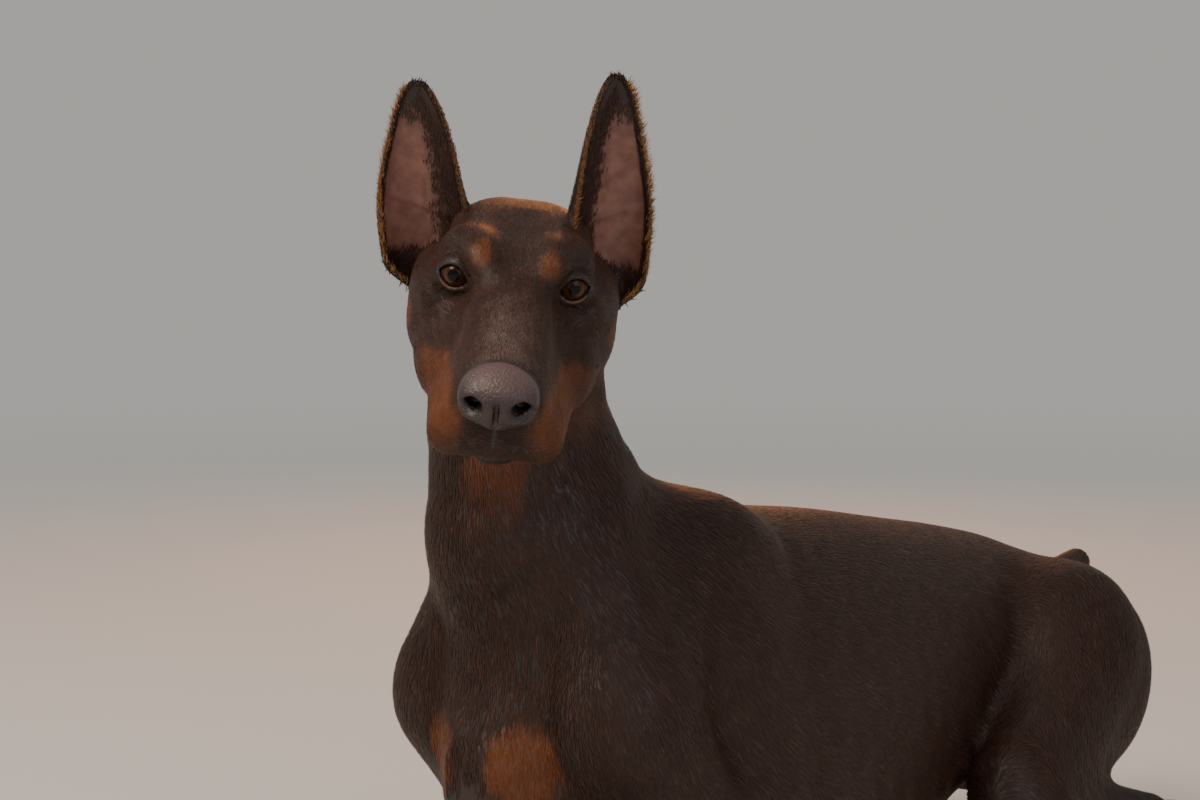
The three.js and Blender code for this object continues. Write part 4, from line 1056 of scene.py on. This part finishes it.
def eye_ball(side):
    angle = np.linspace(0, np.pi, EYE_RINGS)[1:-1] ** 1.25 / np.pi**0.25
    turn = np.arange(EYE_SIDES) * 2 * np.pi / EYE_SIDES
    bulge = np.exp(-((np.degrees(angle) / 30) ** 4)) * CORNEA_RISE
    radius = EYE_RADIUS - 0.1 + bulge
    ring = np.stack(
        [
            np.repeat(radius * np.cos(angle), EYE_SIDES),
            np.outer(radius * np.sin(angle), np.cos(turn)).ravel(),
            np.outer(radius * np.sin(angle), np.sin(turn)).ravel(),
        ],
        -1,
    )
    front, back = [EYE_RADIUS - 0.1 + CORNEA_RISE, 0, 0], [-EYE_RADIUS + 0.1, 0, 0]
    points = np.vstack([ring, front, back])
    rings = EYE_RINGS - 2
    quads = ring_quads(rings, EYE_SIDES)
    walls = [quads[:, [0, 3, 1]], quads[:, [1, 3, 2]]]
    j = np.arange(EYE_SIDES)
    after = (j + 1) % EYE_SIDES
    last = (rings - 1) * EYE_SIDES
    front_point = 0 * j + rings * EYE_SIDES
    caps = [np.stack([front_point, j, after], -1), np.stack([front_point + 1, last + after, last + j], -1)]
    gaze = turn_matrix("Z", side * GAZE_TO_SIDE) @ turn_matrix("Y", -GAZE_UP)
    placed = points @ gaze.T + np.array([EYE[0], side * EYE[1], EYE[2]])
    name = "eye_left" if side > 0 else "eye_right"
    made = mesh_object(name + "_ball", out_of_head(placed), np.vstack(walls + caps))
    off = np.hypot(points[:, 1], points[:, 2])
    off = np.where(points[:, 0] < 0, 2 * EYE_RADIUS - off, off)
    around = np.arctan2(points[:, 2], points[:, 1])
    attribute(made.data, "off_gaze", off)
    attribute(made.data, "fibre", np.stack([4 * np.cos(around), 4 * np.sin(around), 0.3 * off], -1))
    # where the painted shadow of the upper lid falls over the top of the eye
    attribute(made.data, "lid_shadow", soft_step(1.5, 7.5, points[:, 2]))
    attribute(made.data, "inner_corner", soft_step(5.5, 9.5, -side * points[:, 1]))
    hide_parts(name)
    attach(made, "root")
    return made


eyes = [eye_ball(1), eye_ball(-1)]

# Claws: curved horn, one mesh for all sixteen

CLAW_LENGTH, CLAW_ROOT_RADIUS, CLAW_DROP = 24, 4.6, 12
CLAW_RINGS, CLAW_SIDES = 14, 16
CLAW_AHEAD, CLAW_HEIGHT = 70, 14.0  # of a claw's root, from the middle of its paw
OUTER_CLAW_BACK, TOE_SPREAD = 12, 1.1


def claw(root):
    """A claw from its root in the toe, bending down to a blunt tip near the floor."""
    tip = root + np.array([CLAW_LENGTH * 0.86, 0, max(-CLAW_DROP, 1.5 - root[2])])
    bend = root + np.array([CLAW_LENGTH * 0.62, 0, 1.5])
    t = np.linspace(0, 0.985, CLAW_RINGS)[:, None]
    middle = root * (1 - t) ** 2 + bend * 2 * t * (1 - t) + tip * t**2
    size = CLAW_ROOT_RADIUS * (1 - t**1.6)
    turn = np.arange(CLAW_SIDES) * 2 * np.pi / CLAW_SIDES
    ring = np.stack([0 * turn, 0.75 * np.cos(turn), np.sin(turn)], -1)
    return (middle[:, None, :] + size[:, None, :] * ring).reshape(-1, 3), np.repeat(t[:, 0], CLAW_SIDES)


claw_faces = ring_quads(CLAW_RINGS, CLAW_SIDES)
claw_points, claw_shares, all_faces = [], [], []
for place_x, place_y, _ in (FORE_PAW, HIND_PAW):
    for side in (1, -1):
        for toe in TOE_SIDES:
            ahead = CLAW_AHEAD - (OUTER_CLAW_BACK if abs(toe) > OUTER_TOE else 0)
            root = [place_x + ahead, side * (place_y + toe * TOE_SPREAD), CLAW_HEIGHT]
            points, share = claw(np.array(root))
            all_faces.append(claw_faces + len(claw_points) * len(points))
            claw_points.append(points)
            claw_shares.append(share)
claws = mesh_object("claws", np.vstack(claw_points), np.vstack(all_faces))
attribute(claws.data, "along_claw", np.concatenate(claw_shares))
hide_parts(*[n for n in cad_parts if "claw" in n])
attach(claws, "root")

# Materials


def linear(hex_colour):
    """An sRGB hex colour as linear RGBA."""
    channels = [int(hex_colour[i : i + 2], 16) / 255 for i in (1, 3, 5)]
    return [c / 12.92 if c <= 0.04045 else ((c + 0.055) / 1.055) ** 2.4 for c in channels] + [1.0]


def node(tree, kind, settings=None, output=0, **links):
    """Adds a node, with plain settings and with inputs set or linked by name, and gives an output."""
    made = tree.nodes.new("ShaderNode" + kind)
    for key, value in (settings or {}).items():
        setattr(made, key, value)
    for key, value in links.items():
        socket = made.inputs[int(key[1:]) if key[0] == "_" else key.replace("_", " ")]
        if isinstance(value, bpy.types.NodeSocket):
            tree.links.new(value, socket)
        else:
            socket.default_value = value
    return made.outputs[output] if made.outputs else made


def material(name, *pieces):
    """The empty nodes of a new material, which the pieces are given."""
    made = bpy.data.materials.new(name)
    made.use_nodes = True
    made.node_tree.nodes.clear()
    for piece in pieces:
        piece.data.materials.append(made)
    return made.node_tree


def pattern(tree, kind, size_mm, output=0, **inputs):
    """A pattern whose features are size_mm wide, fixed to the object."""
    on_object = node(tree, "TexCoord", None, "Object")
    return node(tree, kind, None, output, Vector=on_object, Scale=1000 / size_mm, **inputs)


def paint(tree, under, over, mask, low=0.0, high=1.0, weak=0.0, strong=1.0):
    """One colour laid over another. Its strength goes from weak to strong as the mask, an attribute
    of the mesh or an output, goes from low to high."""
    if isinstance(mask, str):
        mask = node(tree, "Attribute", {"attribute_name": mask}, "Fac")
    share = node(tree, "MapRange", Value=mask, From_Min=low, From_Max=high, To_Min=weak, To_Max=strong)
    under, over = (linear(colour) if isinstance(colour, str) else colour for colour in (under, over))
    return node(tree, "Mix", {"data_type": "RGBA"}, 2, _0=share, _6=under, _7=over)


# Brown doberman coat, short guard hairs lying flat and close. Each hair is smooth, so the coat
# shines along its lie, and small turns of the hairs break the shine into fine streaks.
tree = material("short_sleek_coat", *coat)
tuft_tone = node(tree, "Attribute", {"attribute_name": "tone_and_sheen"}, "Fac")
tip_tone = node(tree, "Attribute", {"attribute_name": "tip"}, "Fac")
tuft_tone = node(tree, "MapRange", Value=tuft_tone, To_Min=0.62, To_Max=1.42)
tip_tone = node(tree, "MapRange", Value=tip_tone, To_Min=0.85, To_Max=1.15)
both_tones = node(tree, "Math", {"operation": "MULTIPLY"}, _0=tuft_tone, _1=tip_tone)
base = paint(tree, "#39231b", "#66371b", "rust")
base = node(tree, "HueSaturation", Value=both_tones, Color=base)
# the painted sheen along the bridge of the nose, a pale greyish tan over the tufts with the highest tones
base = paint(tree, base, "#74615a", "tone_and_sheen", 0.7, 1.8, 0.0, 0.85)
shader = node(
    tree,
    "BsdfPrincipled",
    Base_Color=base,
    Roughness=0.55,
    Specular_IOR_Level=0.24,
    Sheen_Weight=0.08,
    Sheen_Roughness=0.4,
    Sheen_Tint=linear("#b08a74"),
)
node(tree, "OutputMaterial", Surface=shader)

# Ear fringe, finer hairs left standing along the edges of the ears. Their gold is a painted backlight, the
# sun shining through them from behind, and it goes from dark to pale, so that single hairs stand out against
# the ear.
tree = material("pale_ear_fringe", fringe_piece)
base = paint(tree, "#7a4a24", "#d09850", "tone_and_sheen")
shader = node(tree, "BsdfPrincipled", Base_Color=base, Roughness=0.5, Sheen_Weight=0.2)
node(tree, "OutputMaterial", Surface=shader)

# Dog skin, thin and supple. Under the coat it is the coat's own colour and darker; inside the ears it
# is bare, pinkish brown and softly blotched; on the lips, lids and pads it is dark and leathery. Its
# pores are drawn 0.7 mm wide, as coarse as they need to show.
tree = material("dog_skin", skin)
blotches = pattern(tree, "TexNoise", 9, Detail=3.0)
pores = pattern(tree, "TexNoise", 0.7, Detail=3.0)
base = paint(tree, "#241612", "#5e3418", "rust")
ear_tone = paint(tree, "#6f463c", "#86594b", blotches, 0.35, 0.65)
base = paint(tree, base, ear_tone, "pink_skin")
base = paint(tree, base, "#2c1d1a", "dark_skin")
shader = node(
    tree,
    "BsdfPrincipled",
    Base_Color=base,
    Roughness=0.5,
    Subsurface_Weight=0.08,
    Subsurface_Radius=(0.004, 0.0015, 0.001),
    Subsurface_Scale=1.0,
    Normal=node(tree, "Bump", Height=pores, Strength=0.35, Distance=0.0004),
)
node(tree, "OutputMaterial", Surface=shader)

# Nose leather, bare moist skin cast in small pebbles about 1.8 mm wide. It is liver brown, paler on its drier
# top where a painted highlight also lightens it, a painted shadow darkens the insides of its nostrils, and
# its wet film gives a soft broken highlight.
tree = material("nose_leather", nose)
pebbles = pattern(tree, "TexVoronoi", 1.8, "Distance")
pebbles = node(tree, "MapRange", Value=pebbles, From_Max=0.8, To_Min=1.0, To_Max=0.0)
base = paint(tree, "#2b1b1a", "#3c2827", pattern(tree, "TexNoise", 6, Detail=3.0), 0.3, 0.7)
# paler top: drier skin and a painted highlight
base = paint(tree, base, "#5b4441", "dry_and_lit_top")
# painted shadow inside the nostrils
base = paint(tree, base, "#160d0c", "nostril")
shader = node(
    tree,
    "BsdfPrincipled",
    Base_Color=base,
    Roughness=0.48,
    Coat_Weight=0.14,
    Coat_Roughness=0.28,
    Normal=node(tree, "Bump", Height=pebbles, Strength=0.9, Distance=0.0006),
)
node(tree, "OutputMaterial", Surface=shader)

# Dog eye, a glass-smooth wet ball. The iris is amber brown with fine fibres from the pupil out and a dark
# edge, the rest is brownish white, and the clear cornea gives the sharp catch-light. A painted shadow of the
# upper lid darkens its top.
tree = material("dog_eye", *eyes)
round_iris = node(tree, "Attribute", {"attribute_name": "fibre"}, "Vector")
fibres = node(tree, "TexNoise", Vector=round_iris, Scale=3.2, Detail=5.0)
iris = paint(tree, "#28160a", "#583416", fibres, 0.3, 0.7)
iris = paint(tree, iris, "#2a1608", "off_gaze", PUPIL_RADIUS, PUPIL_RADIUS + 1.6, 0.55, 0.0)
iris = paint(tree, iris, "#170c08", "off_gaze", IRIS_RADIUS - 1.5, IRIS_RADIUS, 0.0, 0.9)
white = paint(tree, "#4a382f", "#6a3f36", "inner_corner")
base = paint(tree, iris, white, "off_gaze", IRIS_RADIUS - 0.1, IRIS_RADIUS + 0.5)
# painted shadow of the upper lid over the top of the eye
base = paint(tree, base, "#0d0705", "lid_shadow", strong=0.8)
base = paint(tree, base, "#050303", "off_gaze", PUPIL_RADIUS - 0.2, PUPIL_RADIUS + 0.2, 1.0, 0.0)
shader = node(
    tree,
    "BsdfPrincipled",
    Base_Color=base,
    Roughness=0.5,
    Specular_IOR_Level=0.0,
    Coat_Weight=1.0,
    Coat_Roughness=0.02,
    Coat_IOR=1.3,
)
node(tree, "OutputMaterial", Surface=shader)

# Claw horn, keratin laid down in long layers. It is dark brown, paler at the tip, with a dull shine.
tree = material("claw_horn", claws)
base = paint(tree, "#2c1d17", "#5c4638", "along_claw", 0.5, 1.0, 0.0, 0.8)
layers = node(tree, "Bump", Height=pattern(tree, "TexNoise", 0.8, Detail=3.0), Strength=0.2, Distance=0.0003)
shader = node(tree, "BsdfPrincipled", Base_Color=base, Roughness=0.38, Normal=layers)
node(tree, "OutputMaterial", Surface=shader)

# Stage, light and camera

SKY, SKY_STRENGTH = "#d8d5d0", 0.62
FLOOR_REACH = 60000  # out to where the floor can't be told from the background
FADE_FROM, FADE_TO = 1.4, 5.0  # metres from the middle

# Pale matt studio floor that fades into the background, so that no horizon shows.
floor_corners = [(x * FLOOR_REACH, y * FLOOR_REACH, 0) for x, y in ((-1, -1), (1, -1), (1, 1), (-1, 1))]
floor = mesh_object("floor", floor_corners, [(0, 1, 2, 3)], False)
tree = material("pale_matt_floor", floor)
near_floor = node(tree, "BsdfPrincipled", Base_Color=linear("#dcdad6"), Roughness=0.85)
far_floor = node(tree, "Emission", Color=linear(SKY), Strength=SKY_STRENGTH)
on_floor = node(tree, "TexCoord", None, "Object")
away = node(tree, "VectorMath", {"operation": "LENGTH"}, "Value", _0=on_floor)
smooth = {"interpolation_type": "SMOOTHSTEP"}
fade = node(tree, "MapRange", smooth, Value=away, From_Min=FADE_FROM, From_Max=FADE_TO)
node(tree, "OutputMaterial", Surface=node(tree, "MixShader", _0=fade, _1=near_floor, _2=far_floor))

world = bpy.data.worlds.new("studio")
bpy.context.scene.world = world
world.use_nodes = True
background = world.node_tree.nodes["Background"]
background.inputs["Color"].default_value = linear(SKY)
background.inputs["Strength"].default_value = SKY_STRENGTH

# name, place, what it points at, size, watts, colour
LIGHTS = [
    ("key", (1.9, -0.4, 2.5), (0.1, 0, 0.45), 1.6, 66, "#fff4e6"),
    ("fill", (0.8, 2.8, 1.5), (0, 0, 0.35), 2.2, 22, "#f1f4ff"),
    ("low_sun", (-2.2, -1.6, 1.5), (0.1, 0, 0.55), 0.5, 17, "#ff9c4c"),
]
for name, place, aim, size, watts, colour in LIGHTS:
    light = bpy.data.lights.new(name, "AREA")
    light.size, light.energy, light.color = size, watts, linear(colour)[:3]
    lamp = bpy.data.objects.new(name, light)
    lamp.location = place
    lamp.rotation_euler = (Vector(aim) - Vector(place)).to_track_quat("-Z", "Y").to_euler()
    bpy.context.scene.collection.objects.link(lamp)

CAMERA_AT = (1.326, 1.093, 0.585)
CAMERA_YAW, CAMERA_PITCH, CAMERA_LENS, CAMERA_SENSOR = 130.3, -5.16, 73.8, 36
optics = bpy.data.cameras.new("camera")
optics.lens, optics.sensor_width = CAMERA_LENS, CAMERA_SENSOR
camera = bpy.data.objects.new("camera", optics)
camera.location = CAMERA_AT
camera.rotation_euler = (math.radians(90 + CAMERA_PITCH), 0, math.radians(CAMERA_YAW))
bpy.context.scene.collection.objects.link(camera)
bpy.context.scene.camera = camera
